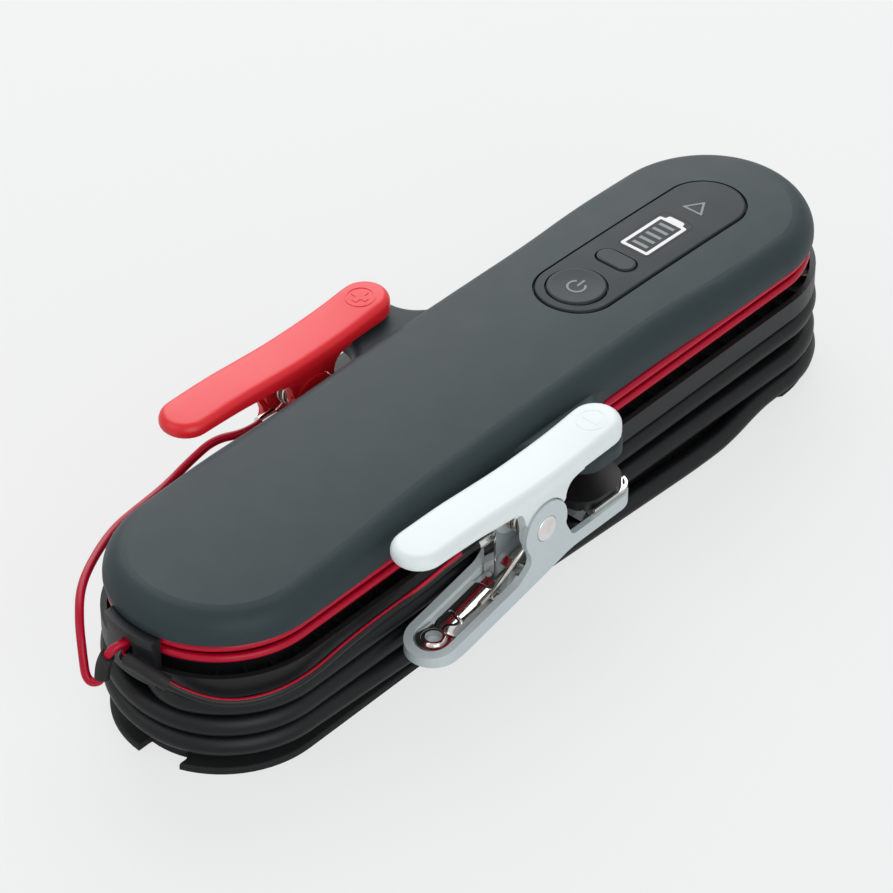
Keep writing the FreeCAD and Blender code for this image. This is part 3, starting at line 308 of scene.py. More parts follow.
def shade(base, factor):
    """A colour that much darker or lighter, kept under full white."""
    return tuple(min(0.95, c * factor) for c in base)


def moulded_plastic(name, base, grain=0.28, depth=0.012, roughness=0.5, contrast=0.12, specular=0.5):
    """Moulding with a spark-eroded surface: fine grain, a slow drift of tone and a little handling shine."""
    finish = Finish(name, roughness, specular=specular)
    eroded = finish.noise(grain, detail=3.0)
    tone = (eroded * 0.8 + finish.noise(26.0) * 0.2).between(0.3, 0.7)
    handled = finish.noise(9.0, detail=4.0).between(0.42, 0.68)
    return finish.coat(finish.mix(tone, shade(base, 1 - contrast), shade(base, 1 + contrast)),
                       (handled * -0.03) + (eroded * 0.08) + (roughness - 0.03), eroded, depth)


def rubber_sheath(name, base, roughness=0.42, scuff=0.10):
    """Extruded sheath: fine grain, pale scuffs and a soft shine."""
    finish = Finish(name, roughness, specular=0.26)
    grain = finish.noise(0.5, detail=3.0)
    scuffs = finish.noise(3.2, detail=5.0).between(0.62, 0.80)
    return finish.coat(finish.mix(scuffs, base, tuple(c + scuff * 0.06 for c in base)),
                       (grain * 0.10) + (scuffs * 0.12) + (roughness - 0.05), grain, 0.010)


def plated_metal(name, base, roughness=0.22, tarnish=0.30):
    """Metal with a rolled or plated face: fine streaks and cloudy tarnish."""
    finish = Finish(name, roughness, metallic=1.0)
    streaks = finish.noise(0.35, stretch=(0.08, 1.0, 1.0))
    cloud = finish.noise(4.0, detail=4.0).between(0.38, 0.72)
    return finish.coat(finish.mix(cloud, base, shade(base, 1 - tarnish)),
                       (streaks * 0.06) + (cloud * 0.06) + (roughness - 0.05), streaks, 0.002)


def clear_window(name, base):
    """Tinted clear plastic: dark, glossy and faintly smeared."""
    finish = Finish(name, 0.38, specular=0.16)
    smear = finish.noise(6.0, detail=4.0).between(0.35, 0.75)
    return finish.coat(finish.mix(smear, base, shade(base, 1.25)), (smear * 0.12) + 0.32)


def printed_ink(name, base):
    """Screen-printed ink: slightly uneven, with a fine grain."""
    finish = Finish(name, 0.55, specular=0.4)
    uneven = finish.noise(0.4, detail=3.0)
    return finish.coat(finish.mix(uneven, shade(base, 0.92), shade(base, 1.05)), (uneven * 0.12) + 0.48,
                       uneven, 0.004)


def board_laminate(name, base):
    """Solder-masked laminate with darker tracks under it."""
    finish = Finish(name, 0.32)
    tracks = finish.cells(3.0).between(0.40, 0.46)
    return finish.coat(finish.mix(tracks, shade(base, 1.35), base), (tracks * 0.08) + 0.28, tracks, 0.03)


def sintered_core(name, base):
    """Pressed ferrite: dull, grey and finely pitted."""
    finish = Finish(name, 0.7, specular=0.4)
    pits = finish.cells(0.5)
    return finish.coat(finish.mix(pits, shade(base, 0.7), shade(base, 1.2)), (pits * 0.2) + 0.6, pits, 0.02)


# Finishes by the function that makes them. Each has its colour, or the name of the colour's setting, the
# solids that wear it, where a star stands for either side, and its options
FINISH_TABLE = {
    moulded_plastic: {
        "body_grey": ("body", "top_shell", dict(roughness=0.50, depth=0.016, specular=0.21)),
        "panel_dark": ("panel", "control_panel", dict(roughness=0.46, depth=0.008, specular=0.18)),
        "button_grey": ("button", "power_button mode_button",
                        dict(roughness=0.48, depth=0.008, specular=0.25)),
        "tray_black": ("tray", "middle_housing lead_anchor", dict(roughness=0.44, depth=0.010, specular=0.3)),
        "base_black": ("base", "base_shell", dict(roughness=0.52, depth=0.014, specular=0.1)),
        "plug_black": ("base", "mains_plug", dict(grain=0.4, roughness=0.45)),
        "switch_black": ((0.012, 0.012, 0.013), "push_switches power_transistors",
                         dict(grain=0.2, roughness=0.4)),
        "can_blue": ((0.03, 0.05, 0.2), "capacitors", dict(grain=0.8, roughness=0.25, depth=0.004)),
        "lamp_white": ((0.8, 0.8, 0.74), "status_lamps", dict(grain=0.3, roughness=0.2, depth=0.004)),
        "clamp_red": ("red_clamp", "positive_clamp_base positive_clamp_lever",
                      dict(grain=0.3, roughness=0.36, depth=0.006, contrast=0.05, specular=0.48)),
        "clamp_pale": ("pale_frame", "negative_clamp_base",
                       dict(grain=0.3, roughness=0.45, depth=0.006, contrast=0.04)),
        "clamp_white": ("white_lever", "negative_clamp_lever",
                        dict(grain=0.3, roughness=0.42, depth=0.005, contrast=0.02)),
    },
    rubber_sheath: {
        "rubber_black": ((0.014, 0.014, 0.015), "lead_gland mains_guard *_lead_sleeve", dict(roughness=0.55)),
        "cable_black": ("cable", "", dict(roughness=0.44)),
        "lead_red": ("red_lead", "", dict(roughness=0.30, scuff=0.2)),
        "lead_black": ("dark_lead", "", dict(roughness=0.34)),
    },
    plated_metal: {
        "nickel": ("nickel", "*_clamp_contact *_lead_terminal *_clamp_upper_jaw",
                   dict(roughness=0.09, tarnish=0.14)),
        "bright_pin": ((0.84, 0.82, 0.80), "plug_pins *_clamp_pin", dict(roughness=0.16, tarnish=0.12)),
        "spring_steel": ((0.66, 0.64, 0.60), "*_clamp_spring", dict(roughness=0.20)),
        "sink_metal": ((0.70, 0.71, 0.72), "heat_sink", dict(roughness=0.35, tarnish=0.15)),
        "screw_steel": ((0.58, 0.58, 0.56), "housing_screws", dict(roughness=0.28)),
    },
    clear_window: {"window_grey": ((0.007, 0.008, 0.010), "battery_window warning_window", {})},
    printed_ink: {"print_white": ("print_white", "", {}), "print_grey": ("print_grey", "", {})},
    board_laminate: {"laminate": ("laminate", "display_board circuit_board", {})},
    sintered_core: {"core_dark": ((0.05, 0.05, 0.055), "transformer", {})},
}

# The finishes that have been made; the open file may hold other materials that are called the same
FINISHES = {}


# Places read from the frame

def half_straight():
    """Half the length of the body's straight sides, between its two round ends, in millimetres."""
    low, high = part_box("top_shell")
    return round((high.x - low.x) / (2 * MM), 1) - END_RADIUS


def tray_rim():
    """Height of the cable tray's upper rim, in millimetres."""
    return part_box("middle_housing")[1].z / MM


def middle_of(node):
    """Middle of a node's box, in millimetres."""
    low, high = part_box(node)
    return (low + high) / (2 * MM)


def surface_of(*pieces):
    """A function that gives how high the first of some pieces or nodes stands at x and y, all in metres."""
    trees = []
    for piece in pieces:
        mesh = (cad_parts[piece] if isinstance(piece, str) else piece).data
        trees.append(BVHTree.FromPolygons([v.co for v in mesh.vertices], [p.vertices for p in mesh.polygons]))
    above = solid_box[1].z + 0.01

    def height(x, y):
        for tree in trees:
            hit = tree.ray_cast(Vector((x, y, above)), Vector((0, 0, -1)))[0]
            if hit is not None:
                return hit.z
        raise RuntimeError("no surface under (%.4f, %.4f)" % (x, y))

    return height


# Making pieces

def metres(x, y, z):
    """A place in metres from one in millimetres."""
    return x * MM, y * MM, z * MM


def placed(name, data):
    """A new object in the open scene."""
    made = bpy.data.objects.new(name, data)
    bpy.context.scene.collection.objects.link(made)
    return made


def wear(mesh, finish):
    """Give a mesh one finish."""
    mesh.materials.clear()
    mesh.materials.append(FINISHES[finish])
    return mesh


def keep(piece, body, slot, *nodes):
    """Say which body a piece moves with and the solids that it replaces; the slot is not used."""
    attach(piece, body)
    if nodes:
        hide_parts(*nodes)


def as_mesh(source, name):
    """What an object looks like once evaluated, as a plain mesh; the object is removed."""
    bpy.context.view_layer.update()
    mesh = bpy.data.meshes.new_from_object(source.evaluated_get(bpy.context.evaluated_depsgraph_get()))
    bpy.data.objects.remove(source)
    mesh.name = name
    return mesh


def add_spline(data, kind, points):
    """Add a spline through points in metres to a curve."""
    spline = data.splines.new(kind)
    spline.points.add(len(points) - 1)
    for knot, place in zip(spline.points, points):
        knot.co = (*place, 1.0)
    return spline


def round_curve(name, radius, resolution):
    """An empty curve with a round section of a radius in metres."""
    data = bpy.data.curves.new(name, "CURVE")
    data.dimensions = "3D"
    data.bevel_depth = radius
    data.bevel_resolution = resolution
    data.use_fill_caps = True
    return data


# Cords

def cord_curve(name, points, diameter, finish):
    """A smooth cord through the air or round the body: points in millimetres, diameter in metres."""
    data = round_curve(name, diameter / 2, 5)
    spline = add_spline(data, "NURBS", [metres(*point) for point in points])
    spline.order_u = 3
    spline.use_endpoint_u = True
    spline.resolution_u = 8
    data.materials.append(FINISHES[finish])
    return placed(name, data)


def eased(start, rise, start_slope, end_slope, length, share):
    """Height part of the way round a turn that starts and ends at given slopes."""
    s2, s3 = share ** 2, share ** 3
    return (start + rise * (3 * s2 - 2 * s3) + length * start_slope * (s3 - 2 * s2 + share)
            + length * end_slope * (s3 - s2))


def turn(points, centre_x, radius, first, last, low, high, slopes=(0.0, 0.0), steps=8):
    """Add a turn round one end of the body, from one angle to another, as points just outside its circle."""
    angle = radians(last - first) / steps
    reach = radius / cos(angle / 2)
    length = abs(angle) * steps * radius
    for i in range(steps):
        share = (i + 0.5) / steps
        here = radians(first) + (i + 0.5) * angle
        z = eased(low, high - low, slopes[0], slopes[1], length, share)
        points.append((centre_x + reach * cos(here), reach * sin(here), z))


# Half the angle between two points of a half turn
HALF_STEP = radians(11.25)


def straight(points, start, end, radius):
    """Add the two points that keep a run along the body straight between two turns."""
    share = radius * tan(HALF_STEP) / abs(end[0] - start[0])
    points.append(tuple(a + (b - a) * share for a, b in zip(start, end)))
    points.append(tuple(b - (b - a) * share for a, b in zip(start, end)))


def mains_points():
    """Route of the mains cable: out of its guard, three times round the base, and down to the plug."""
    cords = settings("pack_cords")
    r, pitch = cords.mains_radius / MM, cords.mains_pitch / MM
    rim, h = tray_rim(), half_straight()
    first = rim - 24.3
    second = first - pitch
    third = second - pitch
    last = 5.9
    lower = last + pitch
    far = r + 0.7
    points = [(-h - 19.8, 9.1, rim - 22.6), (-h - 22.3, 6.6, rim - 22.6), (-h - 30.3, -1.4, rim - 22.7),
              (-h - 31.8, -11.6, rim - 22.8)]
    turn(points, -h, r, 210, 270, first + 1.4, first, (-0.04, 0), 3)
    straight(points, (-h, -r, first), (h, -r, first), r)
    turn(points, h, r, -90, 90, first, first - 0.9)
    straight(points, (h, r, first - 0.9), (-h, r, first - 1.9), r)
    turn(points, -h, r, 90, 180, first - 1.9, first - 5.1, (0, -0.16), 4)
    down, up = (lower + 0.2 - second) / (2 * h), pitch / (8 * h)
    turn(points, -h, r, 180, 270, first - 5.1, second, (-0.16, down), 4)
    straight(points, (-h, -r, second), (h, -r, lower + 0.2), r)
    turn(points, h, r, -90, 90, lower + 0.2, lower + 0.5, (down, up))
    straight(points, (h, r, lower + 0.5), (-h, r, last + pitch * 1.25 + 0.5), r)
    turn(points, -h, r, 90, 180, last + pitch * 1.25 + 0.5, first - 5.2 - pitch, (up, -0.15), 4)
    turn(points, -h, r, 180, 270, first - 5.2 - pitch, third, (-0.15, -0.036), 4)
    points += [(-h + 6.6, -r - 0.1, third - 0.2), (h - 61.0, -36.3, 4.2), (h - 49.0, -36.45, 3.9),
               (h - 35.0, -36.4, 3.9), (h - 16.0, -34.2, 5.8), (h - 6.6, -far, last)]
    turn(points, h, far, -90, 90, last, last)
    points += [(h - 6.6, far, last), (h - 23.0, far, last), (59.0, far, last), (23.0, 54.6, 6.85),
               (-10.0, 54.6, 6.85)]
    return points


# Angle round the body's end at which the wound leads go over to the anchor
LEAVING = 190

# Each lead's height above the tray's rim in its first turn and where it leaves the winding, and its free
# points, above the same rim: first along X from the middle of the round end, then from the clamp's terminal
LEAD_ROUTES = {
    "positive": (-2.2, -6.2,
                 [(-42.2, 4.2, -6.2), (-43.2, 6.8, -12.2), (-43.8, 7.4, -19.8), (-46.2, 11.4, -20.4),
                  (-44.2, 14.4, -12.2), (-39.6, 20.0, -5.8), (-31.0, 28.0, -3.2), (-19.0, 34.6, -3.0),
                  (-3.0, 42.0, -5.4)],
                 [(-50.0, 50.0, -13.0), (-33.2, 54.0, -16.3), (-21.0, 53.6, -12.0), (-12.6, 51.6, -8.0)]),
    "negative": (-4.3, -9.5,
                 [(-40.2, 3.4, -9.6), (-40.2, -3.8, -8.4), (-38.6, -11.0, -10.8), (-34.6, -17.8, -15.4),
                  (-28.6, -26.6, -18.4), (-19.6, -34.2, -18.6), (-5.0, -38.6, -17.8)],
                 [(-50.0, -38.6, -15.2), (-33.0, -38.6, -14.8), (-19.0, -39.2, -14.2)]),
}


def wound_lead(r, high, leave):
    """Route of one wound lead: from its gland twice round the waist to the anchor at the lead end."""
    h = half_straight()
    low = high - settings("pack_cords").lead_step / MM
    points = [(13.0 - h, r, high), (h - r * tan(HALF_STEP), r, high)]
    turn(points, h, r, 90, -90, high, high)
    straight(points, (h, -r, high), (-h, -r, high), r)
    turn(points, -h, r, 270, 180, high, high - 0.4, (0, -0.03), 4)
    turn(points, -h, r, 180, 90, high - 0.4, low - 1.2, (-0.03, 0), 4)
    straight(points, (-h, r, low - 1.2), (h, r, low), r)
    turn(points, h, r, 90, -90, low, low)
    straight(points, (h, -r, low), (-h, -r, low), r)
    turn(points, -h, r, 270, LEAVING, low, leave, (0, 0), 4)
    return points


def terminal_mouth(side):
    """Where a lead enters the barrel in its clamp."""
    barrel = side + "_lead_terminal"
    return Vector((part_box(barrel)[0].x / MM, middle_of(barrel).y, middle_of(side + "_clamp_pin").z - 0.9))


def lead_points(side):
    """Route of a clamp lead: wound round the waist, clipped through the anchor and led to its clamp."""
    high, leave, from_end, from_mouth = LEAD_ROUTES[side]
    rim, h, mouth = tray_rim(), half_straight(), terminal_mouth(side)
    r = getattr(settings("pack_cords"), side + "_radius") / MM
    a = radians(LEAVING)
    way = Vector((sin(a), -cos(a), 0))
    start = Vector((-h + r * cos(a), r * sin(a), rim + leave)) + way * 2.8
    return (wound_lead(r, rim + high, rim + leave) + [start, start + way * 6.0]
            + [(x - h, y, rim + z) for x, y, z in from_end]
            + [(mouth.x + x, y, rim + z) for x, y, z in from_mouth] + [mouth - Vector((6.5, 0, 0)), mouth])


# Small marks

# Longest run between two points of a mark's outline, and the share of its thickness that a mark's middle
# stands above the face under it
MARK_STEP = 1.2
MARK_LIFT = 0.45


def rounded_corners(corners, radius, steps=5):
    """Closed outline with its corners rounded, as points."""
    out = []
    for i, here in enumerate(corners):
        here = Vector(here)
        before = (Vector(corners[i - 1]) - here).normalized()
        after = (Vector(corners[(i + 1) % len(corners)]) - here).normalized()
        reach = radius / tan(before.angle(after) / 2)
        start, end = here + before * reach, here + after * reach
        for k in range(steps + 1):
            t = k / steps
            out.append(start * (1 - t) ** 2 + here * (2 * t * (1 - t)) + end * t ** 2)
    return out


def stepped(outline, step):
    """The same closed outline with a point at least every step along it, so that it follows a domed face."""
    out = []
    for i, here in enumerate(outline):
        here, after = Vector(here), Vector(outline[(i + 1) % len(outline)])
        count = max(1, ceil((after - here).length / step))
        out += [here.lerp(after, k / count) for k in range(count)]
    return out


def flat_plate(name, outlines, thickness, height, finish):
    """A thin plate filled between closed outlines (metres) and laid on a surface given by height(x, y)."""
    data = bpy.data.curves.new(name, "CURVE")
    data.dimensions = "2D"
    data.fill_mode = "BOTH"
    data.extrude = thickness / 2
    for outline in outlines:
        spline = add_spline(data, "POLY", [(*point, 0) for point in stepped(outline, MARK_STEP * MM)])
        spline.use_cyclic_u = True
    mesh = as_mesh(placed(name + "_outline", data), name)
    for vertex in mesh.vertices:
        vertex.co.z += height(vertex.co.x, vertex.co.y) + thickness * MARK_LIFT
    return placed(name, wear(mesh, finish))


def arc(centre, radius, first, last, steps):
    """Points round a centre from one angle to another."""
    angles = [first + (last - first) * i / steps for i in range(steps + 1)]
    return [(centre[0] + radius * cos(a), centre[1] + radius * sin(a)) for a in angles]


# Levers

# Height of a lever's top and of its lower rim above the pin, along X from the pin
LEVER_TOP = [(-56.5, 19.5), (-50.0, 19.74), (-40.0, 19.74), (-30.0, 19.5), (-19.0, 18.7), (-5.0, 17.8),
             (10.0, 17.7), (21.0, 18.1), (30.0, 18.9), (41.0, 19.6)]
LEVER_RIM = [(-56.5, 14.6), (-44.0, 14.4), (-30.0, 13.6), (-18.0, 12.2), (-10.0, 11.5), (14.0, 11.6),
             (41.0, 12.2)]

# Outline of a lever's neck beside the cheeks, from the paddle's tail side to its nose side
NECK_TAIL = [(-14.5, 14.0), (-14.0, 12.0), (-12.2, 11.7), (-10.9, 11.1), (-10.0, 9.9), (-9.4, 8.1),
             (-9.0, 6.4)]
NECK_NOSE = [(9.3, 5.2), (9.6, 7.0), (10.2, 8.6), (11.3, 10.0), (12.9, 11.0), (15.0, 11.5), (18.0, 11.8),
             (18.5, 14.0)]

# The box round the pin that the cheeks of a solid lever are cut out with: its top, back and front, and how
# far its sides lie within the lever's
CHEEK_TOP, CHEEK_BACK, CHEEK_FRONT, CHEEK_INSET = 14.6, -13.0, 13.9, 1.78

# Rim of the lower half's trough beside the contact strip, from the pin's middle
TROUGH_RIM = [(-56.0, -23.6), (-33.0, -19.0), (-12.7, -14.7)]


def smooth_level(knots, x):
    """Height at x on a smooth line through knots of x and height."""
    last = len(knots) - 2
    i = next((k for k in range(last) if x <= knots[k + 1][0]), last)
    slopes = []
    for k in (i, i + 1):
        before, after = knots[max(0, k - 1)], knots[min(last + 1, k + 1)]
        slopes.append((after[1] - before[1]) / (after[0] - before[0]))
    run = knots[i + 1][0] - knots[i][0]
    share = min(1.0, max(0.0, (x - knots[i][0]) / run))
    return eased(knots[i][1], knots[i + 1][1] - knots[i][1], slopes[0], slopes[1], run, share)


def oval_ring(low, high, half, inset, bend=14, along=40):
    """Closed outline with two round ends between low and high on X, set in by a distance."""
    r = half - inset
    a, b = low + half, high - half
    ring = arc((b, 0), r, -pi / 2, pi / 2, bend)
    ring += [(b + (a - b) * k / along, r) for k in range(1, along)]
    ring += arc((a, 0), r, pi / 2, pi * 1.5, bend)
    return ring + [(a + (b - a) * k / along, -r) for k in range(1, along)]


def vertices_at(bm, pin, points):
    """Add points to a bmesh that are given from the pin's middle, in millimetres."""
    return [bm.verts.new(metres(pin.x + x, pin.y + y, pin.z + z)) for x, y, z in points]


def join_rings(bm, rings):
    """Add the faces between each closed ring of vertices and the next."""
    for first, second in zip(rings, rings[1:]):
        for k in range(len(first)):
            after = (k + 1) % len(first)
            bm.faces.new((first[k], first[after], second[after], second[k]))


def skin(bm, rings):
    """Close a bmesh over rings of vertices round a bar, from its first end to its last."""
    join_rings(bm, rings)
    bm.faces.new(rings[0])
    bm.faces.new(rings[-1])


def paddle(bm, pin, half, sizes):
    """Add a hollow paddle with rounded edges to a bmesh, open below, over the pin's middle."""
    top, low = sizes.lever_round / MM, sizes.lever_rim_round / MM
    wall, roof, soft = sizes.lever_wall / MM, sizes.lever_roof / MM, 0.9
    profile = [(half, LEVER_TOP, 0.0), (half * 0.66, LEVER_TOP, -0.06), (top, LEVER_TOP, -0.16)]
    for degrees in range(15, 91, 15):
        a = radians(degrees)
        profile.append((top * (1 - sin(a)), LEVER_TOP, -0.16 - top * (1 - cos(a))))
    for degrees in range(90, -1, -18):
        a = radians(degrees)
        profile.append((low * (1 - sin(a)), LEVER_RIM, low * (1 - cos(a))))
    profile += [(wall - 0.25, LEVER_RIM, 0.0), (wall, LEVER_RIM, 0.25), (wall, LEVER_TOP, -roof - soft),
                (wall + soft, LEVER_TOP, -roof), (half, LEVER_TOP, -roof)]
    tail, nose = -sizes.tail_reach / MM, sizes.nose_reach / MM
    join_rings(bm, [vertices_at(bm, pin, [(x, y, smooth_level(line, x) + lift)
                                          for x, y in oval_ring(tail, nose, half, inset)])
                    for inset, line, lift in profile])


def neck(bm, pin, outer, inner, clear):
    """Add the two side plates that run from the paddle down to the round cheeks of the base."""
    outline = NECK_TAIL + arc((0, 0), clear, radians(148), radians(28), 20) + NECK_NOSE
    soft, face = 0.5, outer - 0.04
    for side in (-1, 1):
        skin(bm, [vertices_at(bm, pin, [(x, side * depth, z + (shrink if z < 12 else 0))
                                        for x, z in outline])
                  for depth, shrink in ((face, soft), (face - soft * 0.3, soft * 0.3), (face - soft, 0.0),
                                        (inner, 0.0))])


def add_solid(bm, node):
    """Add a copy of a node's solid to a bmesh, with its doubles merged."""
    bm.from_mesh(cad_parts[node].data)
    bmesh.ops.remove_doubles(bm, verts=bm.verts, dist=1e-6)


def fill_holes(bm):
    """Close every opening in a bmesh."""
    bmesh.ops.holes_fill(bm, edges=[e for e in bm.edges if e.is_boundary], sides=0)


def cheeks(bm, node, pin, half):
    """Add what a solid lever has within its side plates: the two cheeks that turn on the pin."""
    part = bmesh.new()
    add_solid(part, node)
    for x, y, z, normal in ((0, 0, CHEEK_TOP, (0, 0, 1)), (CHEEK_BACK, 0, 0, (-1, 0, 0)),
                            (CHEEK_FRONT, 0, 0, (1, 0, 0)), (0, half, 0, (0, 1, 0)),
                            (0, -half, 0, (0, -1, 0))):
        bmesh.ops.bisect_plane(part, geom=part.verts[:] + part.edges[:] + part.faces[:],
                               plane_co=Vector((pin.x + x, pin.y + y, pin.z + z)) * MM,
                               plane_no=Vector(normal), clear_outer=True)
        fill_holes(part)
    mesh = bpy.data.meshes.new(node + "_cheeks")
    part.to_mesh(mesh)
    part.free()
    bm.from_mesh(mesh)
    bpy.data.meshes.remove(mesh)


def mesh_piece(name, bm, finish, sharp=38):
    """Turn a bmesh into a piece with smooth faces, but for edges sharper than so many degrees."""
    mesh = bpy.data.meshes.new(name)
    bm.to_mesh(mesh)
    bm.free()
    mesh.shade_smooth()
    mesh.set_sharp_from_angle(angle=radians(sharp))
    return placed(name, wear(mesh, finish))


# Springs

def wire(name, points, radius, finish):
    """A round wire along points in millimetres, as a plain mesh."""
    data = round_curve(name, radius * MM, 4)
    add_spline(data, "POLY", [metres(*point) for point in points])
    mesh = as_mesh(placed(name + "_path", data), name)
    mesh.shade_smooth()
    return placed(name, wear(mesh, finish))


def coil_without_leg(bm, node, root, way, across):
    """Add a solid spring to a bmesh without its upper leg, which starts at a root and heads one way."""
    add_solid(bm, node)
    gone = []
    for vertex in bm.verts:
        reach = vertex.co / MM - root
        along = reach.dot(way)
        if along > 0.05 and abs(reach.y) < across and (reach - way * along).length < across:
            gone.append(vertex)
    bmesh.ops.delete(bm, geom=gone, context="VERTS")
    fill_holes(bm)


# Geometry Nodes

def row_tree(name):
    """A node tree that sets copies of a bar in a row, with named inputs for its sizes."""
    tree = bpy.data.node_groups.new(name, "GeometryNodeTree")
    tree.interface.new_socket("Geometry", in_out="OUTPUT", socket_type="NodeSocketGeometry")
    inputs = {}
    for label, kind in (("Count", "Int"), ("Pitch", "Float"), ("Size", "Vector"), ("Start", "Vector"),
                        ("Material", "Material")):
        made = tree.interface.new_socket(label, in_out="INPUT", socket_type="NodeSocket" + kind)
        inputs[label] = made.identifier
    taken, given, line, step, bar, copies, real, paint = (tree.nodes.new(kind) for kind in (
        "NodeGroupInput", "NodeGroupOutput", "GeometryNodeMeshLine", "ShaderNodeCombineXYZ",
        "GeometryNodeMeshCube", "GeometryNodeInstanceOnPoints", "GeometryNodeRealizeInstances",
        "GeometryNodeSetMaterial"))
    bar.inputs["Vertices Y"].default_value = 7
    for source, target in (
            (taken.outputs["Count"], line.inputs["Count"]), (taken.outputs["Pitch"], step.inputs["X"]),
            (taken.outputs["Start"], line.inputs["Start Location"]), (step.outputs[0], line.inputs["Offset"]),
            (taken.outputs["Size"], bar.inputs["Size"]), (line.outputs[0], copies.inputs["Points"]),
            (bar.outputs[0], copies.inputs["Instance"]), (copies.outputs[0], real.inputs[0]),
            (real.outputs[0], paint.inputs[0]), (taken.outputs["Material"], paint.inputs["Material"]),
            (paint.outputs[0], given.inputs[0])):
        tree.links.new(source, target)
    return tree, inputs


def grown(name, tree, inputs, values):
    """Run a node tree on an empty object and keep what it makes as a plain mesh."""
    base = placed(name + "_source", bpy.data.meshes.new(name + "_source"))
    modifier = base.modifiers.new("nodes", "NODES")
    modifier.node_group = tree
    for label, value in values.items():
        modifier[inputs[label]] = value
    return placed(name, as_mesh(base, name))


# Operators

class PackStage(bpy.types.Operator):
    """Floor, backdrop, soft light and camera"""

    bl_idname = "pack.stage"
    bl_label = "Stage"

    def execute(self, context):
        stage = settings("pack_stage")
        tone = (*stage.backdrop, 1.0)
        self.make_camera(context.scene, stage)
        self.make_floor(tone)
        self.make_world(context.scene, tone)
        self.soft_box("back_softbox", (0.75, 0.85, 1.05), 1.5, 19.0)
        self.soft_box("left_softbox", (-1.1, 0.55, 1.0), 1.0, 3.6)
        self.soft_box("front_fill", (-0.6, -1.3, 0.8), 1.2, 10.5)
        context.scene.view_settings.view_transform = "Standard"
        return {"FINISHED"}

    def set_up(self, piece, place, back):
        """Put a camera or a lamp at a place in metres and turn its back to one way."""
        piece.location = place
        piece.rotation_mode = "QUATERNION"
        piece.rotation_quaternion = (-back).to_track_quat("-Z", "Y")

    def make_camera(self, scene, stage):
        a, e = stage.azimuth, stage.elevation
        back = Vector((sin(a) * cos(e), -cos(a) * cos(e), sin(e)))
        camera = placed("camera", bpy.data.cameras.new("camera"))
        camera.data.sensor_width = 36
        camera.data.lens = stage.lens
        camera.data.clip_start = 0.05
        camera.data.clip_end = 30
        self.set_up(camera, Vector(stage.aim) + back * stage.distance, back)
        scene.camera = camera

    def make_floor(self, tone, half=6.0):
        mesh = bpy.data.meshes.new("floor")
        mesh.from_pydata([(-half, -half, 0), (half, -half, 0), (half, half, 0), (-half, half, 0)], [],
                         [(0, 1, 2, 3)])
        finish = Finish("floor", 0.9, specular=0.1)
        finish.surface.inputs["Base Color"].default_value = tone
        glow = finish.node("ShaderNodeEmission", None, Color=tone, Strength=1.0)
        blend_shaders(finish.tree, seen_ray(finish.tree, 0.5) * 0.80, finish.surface, glow,
                      finish.tree.nodes["Material Output"].inputs[0])
        mesh.materials.append(finish.material)
        placed("floor", mesh)

    def make_world(self, scene, tone):
        scene.world = scene.world or bpy.data.worlds.new("world")
        scene.world.use_nodes = True
        tree = scene.world.node_tree
        tree.nodes.clear()
        out = tree.nodes.new("ShaderNodeOutputWorld")
        seen, light = (tree.nodes.new("ShaderNodeBackground") for _ in range(2))
        seen.inputs[0].default_value = tone
        light.inputs[0].default_value = (0.93, 0.97, 1.0, 1)
        light.inputs[1].default_value = 0.33
        blend_shaders(tree, seen_ray(tree), light, seen, out.inputs[0])

    def soft_box(self, name, place, side, power):
        data = bpy.data.lights.new(name, "AREA")
        data.shape = "SQUARE"
        data.size = side
        data.energy = power
        self.set_up(placed(name, data), place, Vector(place))


class PackFinishes(bpy.types.Operator):
    """Finishes of every solid"""

    bl_idname = "pack.finishes"
    bl_label = "Finishes"

    def execute(self, context):
        colours = settings("pack_colours")
        for maker, finishes in FINISH_TABLE.items():
            for name, (base, nodes, options) in finishes.items():
                base = tuple(getattr(colours, base)) if isinstance(base, str) else base
                FINISHES[name] = maker(name, base, **options)
                for node in nodes.split():
                    for side in SIDES if "*" in node else SIDES[:1]:
                        wear(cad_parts[node.replace("*", side)].data, name)
        return {"FINISHED"}


class PackMainsCable(bpy.types.Operator):
    """Mains cable wound round the base, with its plug behind the pack"""

    bl_idname = "pack.mains_cable"
    bl_label = "Mains cable"

    def execute(self, context):
        cords = settings("pack_cords")
        points = mains_points()
        cable = cord_curve("mains_cable", points, cords.mains_diameter, "cable_black")
        keep(cable, "charger", "cable_black", "mains_winding", "mains_tail")
        [v * MM for v in points[0]]
        return {"FINISHED"}


class PackClampLeads(bpy.types.Operator):
    """Two clamp leads wound round the waist and led to their clamps"""

    bl_idname = "pack.clamp_leads"
    bl_label = "Clamp leads"

    def execute(self, context):
        cords = settings("pack_cords")
        for side, finish in (("positive", "lead_red"), ("negative", "lead_black")):
            points = lead_points(side)
            lead = cord_curve(side + "_lead_cord", points, cords.lead_diameter, finish)
            keep(lead, "charger", finish, side + "_lead_winding", side + "_lead")
            if side == "negative":
                self.stripe(points, cords)
            [v * MM for v in points[0]]
            getattr(cords, side + "_length")
        return {"FINISHED"}

    def stripe(self, points, cords, count=15):
        """The red stripe along the free end of the dark lead, on its last points but one."""
        raised = (cords.lead_diameter - cords.stripe_width) / (2 * MM) + 0.12
        line = [(x, y - 0.15, z + raised) for x, y, z in points[-count:-1]]
        stripe = cord_curve("negative_lead_stripe", line, cords.stripe_width, "lead_red")
        keep(stripe, "charger", "lead_red")
        return stripe


